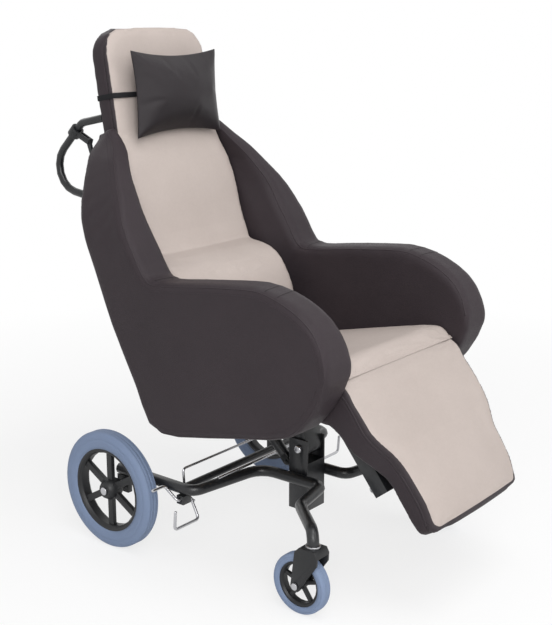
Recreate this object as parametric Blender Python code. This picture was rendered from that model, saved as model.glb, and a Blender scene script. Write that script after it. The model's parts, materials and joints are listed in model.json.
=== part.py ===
"""Tilting geriatric chair: an upholstered shell on a wheeled base, with a hinged legrest.

Metres. X points to the sitter's left, the chair faces -Y, and Z is up with the floor at 0.
Places along Y are measured from the rear axle, which lies REAR_AXLE_Y behind the origin.
"""

import math

import bmesh
import bpy
from mathutils import Matrix, Vector
from mathutils.geometry import interpolate_bezier

# Clearances
GAP = 0.0003
CUT_PAST = 0.010
RUNNING_GAP = 0.0004
SEAM_GAP = 0.0012
WING_GAP = 0.0022

# Place of the rear axle in the part's frame
REAR_AXLE_Y = 0.269

# Rear wheels
REAR_WHEEL_DIAMETER = 0.300
REAR_TYRE_WIDTH = 0.044
REAR_TYRE_DEPTH = 0.043
REAR_TRACK = 0.632
REAR_RIM_WIDTH = 0.035
REAR_RIM_WALL = 0.012
REAR_HUB_DIAMETER = 0.052
REAR_HUB_WIDTH = 0.048
REAR_SPOKE_WIDTH = 0.017
REAR_SPOKES = 6
REAR_AXLE_DIAMETER = 0.012

# Casters
CASTER_DIAMETER = 0.143
CASTER_WIDTH = 0.032
CASTER_TYRE_DEPTH = 0.018
CASTER_RIM_WALL = 0.008
CASTER_HUB_DIAMETER = 0.026
CASTER_SPOKE_WIDTH = 0.009
CASTER_SPOKES = 5
CASTER_AXLE_DIAMETER = 0.008
CASTER_TRACK = 0.590
CASTER_STEM_Y = -0.615
CASTER_TRAIL = 0.031
STEM_DIAMETER = 0.012
STEM_LENGTH = 0.022
FORK_WALL = 0.005
FORK_SIDE_GAP = 0.0025
FORK_TOP_GAP = 0.006
FORK_CROWN = 0.017
FORK_FOOT_RADIUS = 0.014
FORK_TOP = [(-0.020, 0), (0.022, 0), (0.034, -0.012)]
FORK_NOSE = [(-0.026, -0.032), (-0.027, -0.012)]
WASHER_THICKNESS = 0.005
WASHER_DIAMETER = 0.034

# Base frame
TUBE_DIAMETER = 0.028
TUBE_ABOVE_AXLE = 0.037
TUBE_INSIDE_WHEEL = 0.046
TUBE_OVERHANG = 0.016
TUBE_PAST_CROSS = 0.035
TUBE_FRONT_INSET = 0.122
TUBE_FRONT_STEP = 0.027
WAIST_FRONT = 0.056
WAIST_REAR = 0.077
ELBOW_RADIUS = 0.026
ELBOW_LEAD = 0.004
TUBE_BENDS = [0.030, 0.050, 0.026, 0.040]
CROSS_TUBE_DIAMETER = 0.018
CROSS_TUBE_Y = -0.200
POST_WIDTH = 0.072
POST_DEPTH = 0.057
POST_Y = -0.3735
POST_BOTTOM = 0.100
POST_WALL = 0.004
POST_CHEEK_RISE = 0.025
POST_SLOT_DROP = 0.035
LUG_THICKNESS = 0.014
LUG_DEPTH = 0.038
LUG_DROP = 0.021
BOLT_RIM = 0.004
BOLT_HEAD = 0.008
BOLT_DOME = 0.002
STAY_WIRE_DIAMETER = 0.007
STAY_WIRE_Y = -0.254
STAY_WIRE_LENGTH = 0.400

# Tilt pivot and gas spring
TILT_Y = -0.376
TILT_Z = 0.260
TILT_BOLT_DIAMETER = 0.012
YOKE_DEPTH = 0.044
YOKE_FLANGE = 0.008
SPRING_FOOT_Y = -0.315
SPRING_FOOT_Z = 0.205
SPRING_BARREL_DIAMETER = 0.028
SPRING_BARREL_LENGTH = 0.120
SPRING_ROD_DIAMETER = 0.010
SPRING_PIN_DIAMETER = 0.008
SPRING_EYE_SLACK = 0.003
SPRING_HEAD_ALONG = 0.180
SPRING_HEAD_BELOW = 0.1163
SPRING_STROKE = 0.034
SPRING_LUG_THICKNESS = 0.010
SPRING_EAR = 0.005
SPRING_EYE_WALL = 0.006
SPRING_LOOP_WALL = 0.004
SPRING_LOOP_WIDTH = 0.012
SPRING_LUG_BELOW = 0.020
SPRING_LUG_ABOVE = 0.014
SPRING_SHOULDER = 0.008
BRACKET_LENGTH = 0.032
BRACKET_WIDTH = 0.044
BRACKET_PLATE = 0.005
BRACKET_CLEAR = 0.018
BRACKET_BELOW = 0.010

# Brake
BRAKE_WIRE_DIAMETER = 0.008
BRAKE_PIVOT_Y = -0.205
BRAKE_PIVOT_DROP = 0.025
BRAKE_SHOE_GAP = 0.013
BRAKE_SHOE_ANGLE = 14.0
BRAKE_PEDAL_WIDTH = 0.084
BRAKE_PEDAL_DROP = 0.053
BRAKE_PEDAL_LEAD = 0.027
BRAKE_PEDAL_RISE = 0.048
BRAKE_TUBE_GAP = 0.004
BRAKE_BOSS_LENGTH = 0.028
BRAKE_BOSS_DEPTH = 0.022
BRAKE_BEND = 0.009
LINK_ROD_DIAMETER = 0.007
LINK_ROD_RISE = 0.035
LINK_ROD_GAP = 0.006
LINK_ROD_SHARE = 0.27

# Seat
SEAT_SLOPE = 12.6
SEAT_WIDTH = 0.484
SEAT_Y = -0.330
SEAT_Z = 0.499
SEAT_REAR_RUN = 0.180
SEAT_REAR_UNDERCUT = 0.042
SEAT_FRONT_RUN = 0.250
SEAT_LIP = [(0.044, 0.026), (0.021, 0.021)]
SEAT_CUSHION_DEPTH = 0.075
SEAT_CROWN = 0.010
SEAT_PAN_THICKNESS = 0.0185
SEAT_PAN_FRONT = -0.156
SEAT_PAN_REAR = 0.198
RAIL_SIZE = 0.025
RAIL_SPREAD = 0.200
RAIL_SETBACK = 0.006

# Side panels, with armrest and wing
PANEL_THICKNESS = 0.095
PANEL_EDGE = 0.020
WING_TIP = 0.022
WING_DRAW_Z = 0.780
WING_LEAN_Z = 0.860
WING_LEAN_RISE = 0.120
WING_DRAW_OVER = 0.030
WING_FLARE_START = 0.45
ARM_DRAW_Y = -0.300
ARM_DRAW_RUN = 0.140

# Back
BACK_WIDTH = 0.410
BACK_FLARE_LOW_Z = 0.550
BACK_FLARE_TOP_Z = 0.720
BACK_DRAW_Z = 0.900
HEAD_WIDTH = 0.356
HEAD_START_Z = 1.030
HEAD_TOP_Z = 1.270
HEAD_CORNER = 0.072
HEAD_ROLL = 0.028
BACK_SHELL_THICKNESS = 0.030
BACK_PAD_DEPTH = 0.012
BACK_PAD_CROWN = 0.006
LUMBAR_CROWN = 0.008
LUMBAR_FOOT_Z = 0.478
LUMBAR_HEAD_Z = 0.704
LUMBAR_CROWN_Z = 0.690
LUMBAR_EDGE = 0.018
PAD_EDGE = 0.004
SHELL_EDGE = 0.008

# Legrest
LEGREST_Y = -0.600
LEGREST_Z = 0.455
LEGREST_SIDE_GAP = 0.002
LEGREST_WAIST_WIDTH = 0.394
LEGREST_END_WIDTH = 0.374
LEGREST_WAIST = 0.130
LEGREST_FLARE = 0.130
LEGREST_PAD_DEPTH = 0.012
LEGREST_CORNER = 0.016
LEGREST_CROWN = 0.008
LEGREST_PIN_DIAMETER = 0.010
LEGREST_KNUCKLE = 0.083
LEGREST_SWING_GAP = 0.0095
LEGREST_HEEL_RADIUS = 0.030
LEGREST_HEEL_RISE = (0.012, 0.052)
LEGREST_CROWN_RUN = 0.080
HINGE_EAR_SPREAD = 0.240
HINGE_EAR_THICKNESS = 0.010
HINGE_EYE_WALL = 0.008
HINGE_SLOT_GAP = 0.0035
HINGE_SLOT_REACH = 0.090
HINGE_SLOT_LOW = -66.0
HINGE_SLOT_HIGH = 75.0
FOOT_RAIL_SPREAD = 0.314
FOOT_RAIL_WIDTH = 0.030
FOOT_RAIL_HEIGHT = 0.0375
FOOT_RAIL_LENGTH = 0.165
FOOT_RAIL_SADDLE = 0.030
FOOT_RAIL_Y = -0.695
FOOT_RAIL_Z = 0.2604
FOOT_RAIL_BORE = 0.060
FOOT_RAIL_WALL = 0.003
FOOT_RAIL_SLOPE = 51.6
FOOT_RAIL_SOLID = 0.010
FOOT_SCREW_ALONG = 0.020
FOOT_SCREW_DIAMETER = 0.016
FOOT_SCREW_HEIGHT = 0.010

# Push handles, release lever and cable
HANDLE_SPREAD = 0.330
HANDLE_DIAMETER = 0.020
HANDLE_BENDS = [0.030, 0.0635]
HANDLE_TOP_Z = 1.055
HANDLE_LOW_Z = 0.825
HANDLE_SUNK = 0.020
HANDLE_GRIP = [(0.224, 1.035), (0.391, 0.8756)]
CLAMP_ALONG = 0.034
CLAMP_LENGTH = 0.024
CLAMP_WALL = 0.006
CLAMP_REACH = 0.052
CLAMP_CHEEK = 0.004
CLAMP_SLOPE = 23.4
LEVER_LENGTH = 0.052
LEVER_THICKNESS = 0.008
LEVER_EYE = 0.0065
LEVER_TIP = 0.006
LEVER_PIN = 0.006
LEVER_SLOPE = 72.5
CABLE_DIAMETER = 0.005
CABLE_LEAVE = [(0, 0.004, 0.004), (0, 0.002, -0.030), (0.004, -0.020, -0.075)]
CABLE_ARRIVE = [(-0.012, 0.034, -0.004), (0, 0.014, -0.004), (0, 0, 0)]
CABLE_HIGH_Z = 0.850
CABLE_LOW_Z = 0.410
CABLE_SIDE_START = 0.012
CABLE_SIDE_RUN = 0.090
CABLE_ABOVE_PIN = 0.018

# Head pillow and its strap
PILLOW_WIDTH = 0.312
PILLOW_HEIGHT = 0.216
PILLOW_FRONT = 0.058
PILLOW_REAR = 0.034
PILLOW_SEAM = 0.0267
PILLOW_X = 0.010
PILLOW_Z = 1.107
PILLOW_LEAN = 4.5
PILLOW_DRAW_X = 0.055
PILLOW_DRAW_Z = 0.060
STRAP_WIDTH = 0.013
STRAP_THICKNESS = 0.0015
STRAP_CORNER = 0.008

# Side outlines as (y, z): the back from its foot up, and the legrest from the seat down
BACK_REAR = [
    (-0.150, 0.385), (-0.113, 0.458), (-0.050, 0.570), (0.012, 0.696), (0.048, 0.780),
    (0.078, 0.870), (0.106, 0.950), (0.138, 1.030), (0.167, 1.200),
]
BACK_FRONT = [
    (-0.0215, 0.7255), (0.003, 0.779), (0.026, 0.863), (0.052, 0.940), (0.083, 1.026), (0.110, 1.190),
]
LUMBAR_FRONT = [
    (-0.026, 0.7195), (-0.050, 0.7170), (-0.085, 0.711), (-0.118, 0.697),
    (-0.150, 0.664), (-0.177, 0.612), (-0.188, 0.555), (-0.189, 0.492),
]
LEGREST_TOP = [
    (-0.657, 0.517), (-0.686, 0.482), (-0.716, 0.440), (-0.7455, 0.4075), (-0.766, 0.384),
    (-0.7855, 0.3525), (-0.811, 0.3175), (-0.8345, 0.281), (-0.857, 0.227),
]
LEGREST_UNDER = [
    (-0.613, 0.427), (-0.6445, 0.406), (-0.671, 0.372), (-0.703, 0.345), (-0.729, 0.3265),
    (-0.747, 0.3105), (-0.771, 0.273), (-0.798, 0.232), (-0.830, 0.195),
]

# Wing top to armrest front: rear or bottom edge, then front or top edge, both as (y, z)
PANEL_EDGES = [
    (0.143, 1.042, 0.098, 1.027),
    (0.132, 1.000, 0.056, 0.990),
    (0.108, 0.935, 0.002, 0.930),
    (0.084, 0.862, -0.055, 0.868),
    (0.056, 0.775, -0.112, 0.785),
    (0.004, 0.655, -0.160, 0.712),
    (-0.052, 0.545, -0.205, 0.706),
    (-0.112, 0.435, -0.252, 0.711),
    (-0.150, 0.356, -0.300, 0.717),
    (-0.214, 0.338, -0.350, 0.723),
    (-0.323, 0.357, -0.410, 0.729),
    (-0.432, 0.380, -0.470, 0.733),
    (-0.530, 0.400, -0.530, 0.724),
    (-0.588, 0.424, -0.590, 0.701),
    (-0.632, 0.470, -0.634, 0.671),
    (-0.660, 0.517, -0.661, 0.634),
    (-0.674, 0.556, -0.675, 0.592),
]

# Worked out from the sizes above
rear_radius = REAR_WHEEL_DIAMETER / 2
caster_radius = CASTER_DIAMETER / 2
tube_radius = TUBE_DIAMETER / 2
tube_height = rear_radius + TUBE_ABOVE_AXLE
tube_spread = REAR_TRACK - 2 * TUBE_INSIDE_WHEEL
brake_pivot_z = tube_height - BRAKE_PIVOT_DROP
axle_radius = REAR_AXLE_DIAMETER / 2
seat_half = SEAT_WIDTH / 2
panel_outer = seat_half + PANEL_THICKNESS
legrest_top_width = SEAT_WIDTH - 2 * LEGREST_SIDE_GAP
crown_bottom = CASTER_DIAMETER + FORK_TOP_GAP
crown_top = crown_bottom + FORK_CROWN
tube_end_z = crown_top + WASHER_THICKNESS + 2 * GAP
elbow_height = tube_end_z + ELBOW_RADIUS + ELBOW_LEAD
caster_axle_y = CASTER_STEM_Y + CASTER_TRAIL
cheek_top = TILT_Z + POST_CHEEK_RISE
slot_bottom = TILT_Z - POST_SLOT_DROP
post_side_x = POST_WIDTH / 2 + tube_radius + GAP
tilt_axis = Vector((0, TILT_Y, TILT_Z))
legrest_axis = Vector((0, LEGREST_Y, LEGREST_Z))

for leftover in list(bpy.data.objects):
    bpy.data.objects.remove(leftover, do_unlink=True)

chair = bpy.data.objects.new("chair", None)
chair.location = (0, REAR_AXLE_Y, 0)
bpy.context.collection.objects.link(chair)


def finish(name, color, roughness, metallic=0.0):
    made = bpy.data.materials.new(name)
    made.use_nodes = True
    shader = made.node_tree.nodes["Principled BSDF"]
    shader.inputs["Base Color"].default_value = (*color, 1)
    shader.inputs["Roughness"].default_value = roughness
    shader.inputs["Metallic"].default_value = metallic
    made.diffuse_color = (*color, 1)
    return made


brown_vinyl = finish("brown_vinyl", (0.055, 0.045, 0.048), 0.48)
beige_fabric = finish("beige_fabric", (0.61, 0.53, 0.49), 0.75)
pillow_vinyl = finish("pillow_vinyl", (0.050, 0.046, 0.050), 0.35)
black_paint = finish("black_paint", (0.012, 0.013, 0.015), 0.40, 0.3)
black_plastic = finish("black_plastic", (0.014, 0.015, 0.017), 0.45)
grey_rubber = finish("grey_rubber", (0.22, 0.29, 0.46), 0.70)
steel = finish("steel", (0.45, 0.45, 0.47), 0.32, 0.9)
black_elastic = finish("black_elastic", (0.012, 0.012, 0.012), 0.85)
plywood = finish("plywood", (0.42, 0.30, 0.18), 0.70)


# Making meshes


def piece(name, mesh, surface, pivot=(0, 0, 0)):
    """An object from a bmesh in chair coordinates, with its origin on the pivot."""
    bmesh.ops.recalc_face_normals(mesh, faces=mesh.faces)
    if mesh.calc_volume(signed=True) < 0:
        bmesh.ops.reverse_faces(mesh, faces=mesh.faces)
    mesh.transform(Matrix.Translation(-Vector(pivot)))
    data = bpy.data.meshes.new(name)
    mesh.to_mesh(data)
    mesh.free()
    data.materials.append(surface)
    data.shade_smooth()
    data.set_sharp_from_angle(angle=math.radians(35))
    made = bpy.data.objects.new(name, data)
    made.parent = chair
    made.location = pivot
    bpy.context.collection.objects.link(made)
    return made


def combine(target, helper, operation):
    helper.hide_render = True
    helper.display_type = "WIRE"
    modifier = target.modifiers.new(helper.name, "BOOLEAN")
    modifier.operation = operation
    modifier.solver = "EXACT"
    modifier.object = helper


def cut(target, mesh):
    combine(target, piece(target.name + "_cut", mesh, black_paint), "DIFFERENCE")


def join(target, mesh):
    combine(target, piece(target.name + "_join", mesh, black_paint), "UNION")


def block(low, high, place=Matrix.Identity(4)):
    """A box between two corners, moved by a matrix."""
    mesh = bmesh.new()
    bmesh.ops.create_cube(mesh, size=1)
    low = Vector(low)
    high = Vector(high)
    size = high - low
    mesh.transform(place @ Matrix.Translation((low + high) / 2) @ Matrix.Diagonal((*size, 1)))
    return mesh


def lathe(profile, steps, place):
    """A closed (axial, radius) profile turned about local X; its flats lie on the radius."""
    mesh = bmesh.new()
    grow = 1 / math.cos(math.pi / steps)
    rings = []
    for step in range(steps):
        angle = (step + 0.5) * 2 * math.pi / steps
        ring = []
        for axial, radius in profile:
            spot = Vector((axial, grow * radius * math.sin(angle), grow * radius * math.cos(angle)))
            ring.append(mesh.verts.new(place @ spot))
        rings.append(ring)
    bridge(mesh, rings + rings[:1])
    bmesh.ops.remove_doubles(mesh, verts=mesh.verts, dist=1e-6)
    return mesh


def bridge(mesh, rings):
    for first, second in zip(rings, rings[1:]):
        for i in range(len(first)):
            j = (i + 1) % len(first)
            mesh.faces.new((first[i], first[j], second[j], second[i]))


def zip_end(mesh, loop):
    """An end cap of triangles between the two sides of a long loop that starts and stops at one end."""
    low = 0
    high = len(loop) - 1
    while high - low > 1:
        step_low = (loop[low + 1].co - loop[high].co).length
        step_high = (loop[low].co - loop[high - 1].co).length
        if step_low <= step_high:
            mesh.faces.new((loop[low], loop[low + 1], loop[high]))
            low += 1
        else:
            mesh.faces.new((loop[low], loop[high - 1], loop[high]))
            high -= 1


def loft(rings):
    """A closed body through rings of equal counts."""
    mesh = bmesh.new()
    loops = [[mesh.verts.new(spot) for spot in ring] for ring in rings]
    bridge(mesh, loops)
    zip_end(mesh, loops[0])
    zip_end(mesh, loops[-1])
    return mesh


def rod(start, end, radius, steps=16):
    """A round bar from one point to another."""
    start = Vector(start)
    run = Vector(end) - start
    turn = Vector((1, 0, 0)).rotation_difference(run).to_matrix().to_4x4()
    outline = [(0, 0), (0, radius), (run.length, radius), (run.length, 0)]
    return lathe(outline, steps, Matrix.Translation(start) @ turn)


def plate(outline, low_x, high_x):
    """A (y, z) outline drawn out along X."""
    mesh = bmesh.new()
    loops = [[mesh.verts.new((x, y, z)) for y, z in outline] for x in (low_x, high_x)]
    bridge(mesh, loops)
    for loop in loops:
        mesh.faces.new(loop)
    return mesh


def arc(center, radius, start, end, count):
    """(y, z) points on an arc, in degrees from +Y towards +Z."""
    turns = [math.radians(start + (end - start) * i / (count - 1)) for i in range(count)]
    return [(center[0] + radius * math.cos(t), center[1] + radius * math.sin(t)) for t in turns]


def smooth(points, count):
    """Evenly spaced points on a smooth curve through the given ones."""
    knots = [Vector(p).to_3d() for p in points]
    fine = [knots[0]]
    for i in range(len(knots) - 1):
        before = knots[max(i - 1, 0)]
        after = knots[min(i + 2, len(knots) - 1)]
        lead = knots[i] + (knots[i + 1] - before) / 6
        trail = knots[i + 1] - (after - knots[i]) / 6
        fine += interpolate_bezier(knots[i], lead, trail, knots[i + 1], 13)[1:]
    lengths = [0.0]
    for a, b in zip(fine, fine[1:]):
        lengths.append(lengths[-1] + (b - a).length)
    spaced = []
    at = 0
    for i in range(count):
        want = lengths[-1] * i / (count - 1)
        while at < len(fine) - 2 and lengths[at + 1] < want:
            at += 1
        share = (want - lengths[at]) / (lengths[at + 1] - lengths[at])
        spaced.append(fine[at].lerp(fine[at + 1], share))
    return spaced


def ease(share):
    """A smooth rise from 0 to 1."""
    share = min(max(share, 0), 1)
    return share * share * (3 - 2 * share)


def flat(points):
    return [(p[0], p[1]) for p in points]


def bent(corners, radii, bend_step=22):
    """A path of straight runs with a round bend at each inner corner."""
    corners = [Vector(c) for c in corners]
    path = [corners[0]]
    for before, corner, after, radius in zip(corners, corners[1:], corners[2:], radii):
        into = (corner - before).normalized()
        out = (after - corner).normalized()
        angle = into.angle(out)
        reach = radius * math.tan(angle / 2)
        count = max(2, math.ceil(math.degrees(angle) / bend_step))
        start = corner - into * reach
        side = (out - into * into.dot(out)).normalized()
        for i in range(count + 1):
            turn = angle * i / count
            path.append(start + into * radius * math.sin(turn) + side * radius * (1 - math.cos(turn)))
    path.append(corners[-1])
    return path


def tube(name, path, radius, surface, pivot=(0, 0, 0), sides=3):
    """A bevelled curve along a path, turned into a mesh."""
    curve = bpy.data.curves.new(name + "_path", "CURVE")
    curve.dimensions = "3D"
    curve.bevel_depth = radius
    curve.bevel_resolution = sides
    curve.use_fill_caps = True
    line = curve.splines.new("POLY")
    line.points.add(len(path) - 1)
    for point, spot in zip(line.points, path):
        point.co = (*spot, 1)
    guide = bpy.data.objects.new(name + "_path", curve)
    bpy.context.collection.objects.link(guide)
    graph = bpy.context.evaluated_depsgraph_get()
    mesh = bmesh.new()
    shape = bpy.data.meshes.new_from_object(guide.evaluated_get(graph))
    mesh.from_mesh(shape)
    bpy.data.objects.remove(guide, do_unlink=True)
    bmesh.ops.remove_doubles(mesh, verts=mesh.verts, dist=1e-6)
    return piece(name, mesh, surface, pivot)


def moved(outline, distance):
    """A closed (y, z) outline moved outwards, point by point."""
    area = 0
    for (y0, z0), (y1, z1) in zip(outline, outline[1:] + outline[:1]):
        area += y0 * z1 - y1 * z0
    sign = 1 if area > 0 else -1
    result = []
    for i, (y, z) in enumerate(outline):
        before = outline[i - 1]
        after = outline[(i + 1) % len(outline)]
        run = Vector((after[0] - before[0], after[1] - before[1])).normalized()
        step = distance(i) * sign
        result.append((y + run.y * step, z - run.x * step))
    return result


def padded(outline, half_width, edge, crown, spans=4):
    """An outline drawn across the chair, with rounded side edges and a crowned middle."""
    stations = []
    for turn in (90, 45):
        swing = math.radians(turn)
        stations.append((-1, edge * math.sin(swing), edge * (1 - math.cos(swing))))
    for i in range(spans + 1):
        stations.append((2 * i / spans - 1, 0, 0))
    for turn in (45, 90):
        swing = math.radians(turn)
        stations.append((1, edge * math.sin(swing), edge * (1 - math.cos(swing))))
    rings = []
    for share, beyond, inset in stations:
        shape = moved(outline, lambda i: crown(*outline[i]) * (1 - share * share) - inset)
        ring = []
        for (y, z), (rest_y, rest_z) in zip(shape, outline):
            half = half_width(rest_y, rest_z) - edge
            ring.append((share * half + math.copysign(beyond, share), y, z))
        rings.append(ring)
    return loft(rings)


def height_on(line, z):
    """The y of a rising (y, z) line at a height."""
    for (y0, z0), (y1, z1) in zip(line, line[1:]):
        if z <= z1:
            break
    return y0 + (y1 - y0) * (z - z0) / (z1 - z0)


def offset_line(line, distance):
    """An open (y, z) line moved towards the front."""
    result = []
    for i, (y, z) in enumerate(line):
        before = line[max(i - 1, 0)]
        after = line[min(i + 1, len(line) - 1)]
        run = Vector((after[0] - before[0], after[1] - before[1])).normalized()
        result.append((y - run.y * distance, z + run.x * distance))
    return result


def along_x(x, y, z):
    return Matrix.Translation((x, y, z))


def upright(x, y, z):
    return Matrix.Translation((x, y, z)) @ Matrix.Rotation(-math.pi / 2, 4, "Y")


def mirrored(points, side):
    return [(side * p[0], p[1], p[2]) for p in points]


seat_place = Matrix.Translation((0, SEAT_Y, SEAT_Z)) @ Matrix.Rotation(math.radians(-SEAT_SLOPE), 4, "X")
sides = ((-1, "right"), (1, "left"))


# Wheels


def spoked_rim(name, center, outer, width, wall, hub, hub_width, bore, spoke, count, steps):
    inner = outer - wall
    lip = width / 2
    ring = [(-lip, outer), (-lip, outer - wall / 2), (-lip * 0.6, inner)]
    ring += [(-axial, radius) for axial, radius in reversed(ring)]
    rim = piece(name, lathe(ring, steps, along_x(*center)), black_plastic, center)
    half = hub_width / 2
    boss = [(-half, bore), (-half, hub * 0.7), (-half / 2, hub)]
    boss += [(-axial, radius) for axial, radius in reversed(boss)]
    spokes = bmesh.new()
    for i in range(count):
        turn = along_x(*center) @ Matrix.Rotation(2 * math.pi * i / count, 4, "X")
        arm = block((-width * 0.16, -spoke / 2, hub * 0.8), (width * 0.16, spoke / 2, inner + wall / 3), turn)
        part = bpy.data.meshes.new("spoke")
        arm.to_mesh(part)
        arm.free()
        spokes.from_mesh(part)
    join(rim, spokes)
    join(rim, lathe(boss, 14, along_x(*center)))
    return rim


def rear_wheel(side, label):
    center = (side * REAR_TRACK / 2, 0, rear_radius)
    half = REAR_TYRE_WIDTH / 2
    seat = rear_radius - REAR_TYRE_DEPTH
    wall = [(0.41 * half, rear_radius), (0.75 * half, rear_radius - 0.12 * REAR_TYRE_DEPTH)]
    wall += [(0.97 * half, rear_radius - 0.34 * REAR_TYRE_DEPTH)]
    wall += [(half, rear_radius - 0.56 * REAR_TYRE_DEPTH)]
    wall += [(0.93 * half, rear_radius - 0.8 * REAR_TYRE_DEPTH), (REAR_RIM_WIDTH / 2, seat)]
    tread = [(-axial, radius) for axial, radius in reversed(wall)] + wall
    piece("rear_tyre_" + label, lathe(tread, 28, along_x(*center)), grey_rubber, center)
    spoked_rim(
        "rear_rim_" + label, center, seat - GAP, REAR_RIM_WIDTH, REAR_RIM_WALL, REAR_HUB_DIAMETER / 2,
        REAR_HUB_WIDTH, axle_radius + RUNNING_GAP, REAR_SPOKE_WIDTH, REAR_SPOKES, 28,
    )


def rear_axle(side, label):
    lug_x = tube_spread / 2
    hub_in = REAR_TRACK / 2 - REAR_HUB_WIDTH / 2
    hub_out = REAR_TRACK / 2 + REAR_HUB_WIDTH / 2
    lug_in = lug_x - LUG_THICKNESS / 2
    lug_out = lug_x + LUG_THICKNESS / 2
    low = (lug_in, -LUG_DEPTH / 2, rear_radius - LUG_DROP)
    high = (lug_out, LUG_DEPTH / 2, tube_height - tube_radius - GAP)
    lug = piece("axle_lug_" + label, block(low, high, Matrix.Scale(side, 4, (1, 0, 0))), black_paint)
    reach = axle_radius + GAP
    ends = [(side * (lug_in - CUT_PAST), 0, rear_radius), (side * (lug_out + CUT_PAST), 0, rear_radius)]
    cut(lug, rod(*ends, reach, 24))
    head = axle_radius + BOLT_RIM
    end = lug_in - BOLT_HEAD
    bolt = [(end, 0), (end, head), (lug_in - GAP, head), (lug_in - GAP, axle_radius)]
    bolt += [(lug_out + GAP, axle_radius), (lug_out + GAP, head)]
    bolt += [(hub_in - GAP, head), (hub_in - GAP, axle_radius)]
    bolt += [(hub_out + GAP, axle_radius), (hub_out + GAP, head), (hub_out + BOLT_RIM, head)]
    tip = hub_out + BOLT_RIM + BOLT_DOME
    bolt += [(tip, head * 0.7), (tip, 0)]
    place = Matrix.Scale(side, 4, (1, 0, 0)) @ along_x(0, 0, rear_radius)
    piece("axle_bolt_" + label, lathe(bolt, 12, place), steel)


def caster(side, label):
    stem_x = side * CASTER_TRACK / 2
    center = (stem_x, caster_axle_y, caster_radius)
    swivel = (stem_x, CASTER_STEM_Y, crown_top)
    half = CASTER_WIDTH / 2
    seat = caster_radius - CASTER_TYRE_DEPTH
    wall = [(0.4 * half, caster_radius), (0.78 * half, caster_radius - 0.14 * CASTER_TYRE_DEPTH)]
    wall += [(half, caster_radius - 0.5 * CASTER_TYRE_DEPTH), (0.8 * half, seat)]
    tread = [(-axial, radius) for axial, radius in reversed(wall)] + wall
    piece("caster_tyre_" + label, lathe(tread, 22, along_x(*center)), grey_rubber, center)
    pin = CASTER_AXLE_DIAMETER / 2
    spoked_rim(
        "caster_hub_" + label, center, seat - GAP, 1.5 * half, CASTER_RIM_WALL, CASTER_HUB_DIAMETER / 2,
        CASTER_WIDTH, pin + RUNNING_GAP, CASTER_SPOKE_WIDTH, CASTER_SPOKES, 22,
    )
    leg_in = half + FORK_SIDE_GAP
    leg_out = leg_in + FORK_WALL
    outline = [(y, crown_top + z) for y, z in FORK_TOP]
    outline += arc((CASTER_TRAIL, caster_radius), FORK_FOOT_RADIUS, 0, -180, 7)
    outline += [(y, crown_top + z) for y, z in FORK_NOSE]
    outline = [(CASTER_STEM_Y + y, z) for y, z in outline]
    cheeks = plate(outline, stem_x - leg_out, stem_x + leg_out)
    fork = piece("caster_fork_" + label, cheeks, black_plastic, swivel)
    room = (stem_x - leg_in, CASTER_STEM_Y - CASTER_DIAMETER, -CUT_PAST)
    cut(fork, block(room, (stem_x + leg_in, CASTER_STEM_Y + CASTER_DIAMETER, crown_bottom)))
    wide = leg_out + CUT_PAST
    cut(fork, rod((stem_x - wide, *center[1:]), (stem_x + wide, *center[1:]), pin + GAP))
    stem_top = tube_end_z + STEM_LENGTH
    stem_low = (stem_x, CASTER_STEM_Y, crown_top - FORK_CROWN / 2)
    join(fork, rod(stem_low, (stem_x, CASTER_STEM_Y, stem_top), STEM_DIAMETER / 2))
    bore = STEM_DIAMETER / 2 + RUNNING_GAP
    thick = WASHER_THICKNESS
    ring = [(0, bore), (0, WASHER_DIAMETER / 2), (thick, WASHER_DIAMETER / 2), (thick, bore)]
    piece("caster_washer_" + label, lathe(ring, 20, upright(stem_x, CASTER_STEM_Y, crown_top + GAP)), steel)
    head = pin + BOLT_RIM
    end = -leg_out - FORK_WALL
    shaft = [(end, 0), (end, head), (-leg_out - GAP, head), (-leg_out - GAP, pin)]
    shaft += [(-axial, radius) for axial, radius in reversed(shaft)]
    piece("caster_axle_" + label, lathe(shaft, 12, along_x(*center)), steel, center)


# Base frame


def side_tube_corners(side):
    straight = tube_spread / 2
    waist_front = POST_Y - POST_DEPTH / 2 - WAIST_FRONT
    waist_rear = POST_Y + POST_DEPTH / 2 + WAIST_REAR
    front = CASTER_TRACK / 2
    corners = [
        (straight, TUBE_OVERHANG, tube_height),
        (straight, CROSS_TUBE_Y - TUBE_PAST_CROSS, tube_height),
        (post_side_x, waist_rear, tube_height),
        (post_side_x, waist_front, tube_height),
        (front - TUBE_FRONT_INSET, waist_front - TUBE_FRONT_STEP, tube_height),
        (front, CASTER_STEM_Y, elbow_height),
        (front, CASTER_STEM_Y, tube_end_z),
    ]
    return mirrored(corners, side)


def base_frame():
    for side, label in sides:
        path = bent(side_tube_corners(side), TUBE_BENDS + [ELBOW_RADIUS])
        rail = tube("base_tube_" + label, path, tube_radius, black_paint)
        stem = (side * CASTER_TRACK / 2, CASTER_STEM_Y)
        bore = STEM_DIAMETER / 2 + RUNNING_GAP
        cut(rail, rod((*stem, tube_end_z - CUT_PAST), (*stem, tube_end_z + STEM_LENGTH + GAP), bore))
    reach = tube_spread / 2 - tube_radius - GAP
    ends = [(-reach, CROSS_TUBE_Y, tube_height), (reach, CROSS_TUBE_Y, tube_height)]
    piece("rear_cross_tube", rod(*ends, CROSS_TUBE_DIAMETER / 2), black_paint)
    wire = STAY_WIRE_DIAMETER / 2
    wire_z = tube_height + tube_radius + wire + GAP
    half = STAY_WIRE_LENGTH / 2
    piece("stay_wire", rod((-half, STAY_WIRE_Y, wire_z), (half, STAY_WIRE_Y, wire_z), wire, 10), steel)


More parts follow.
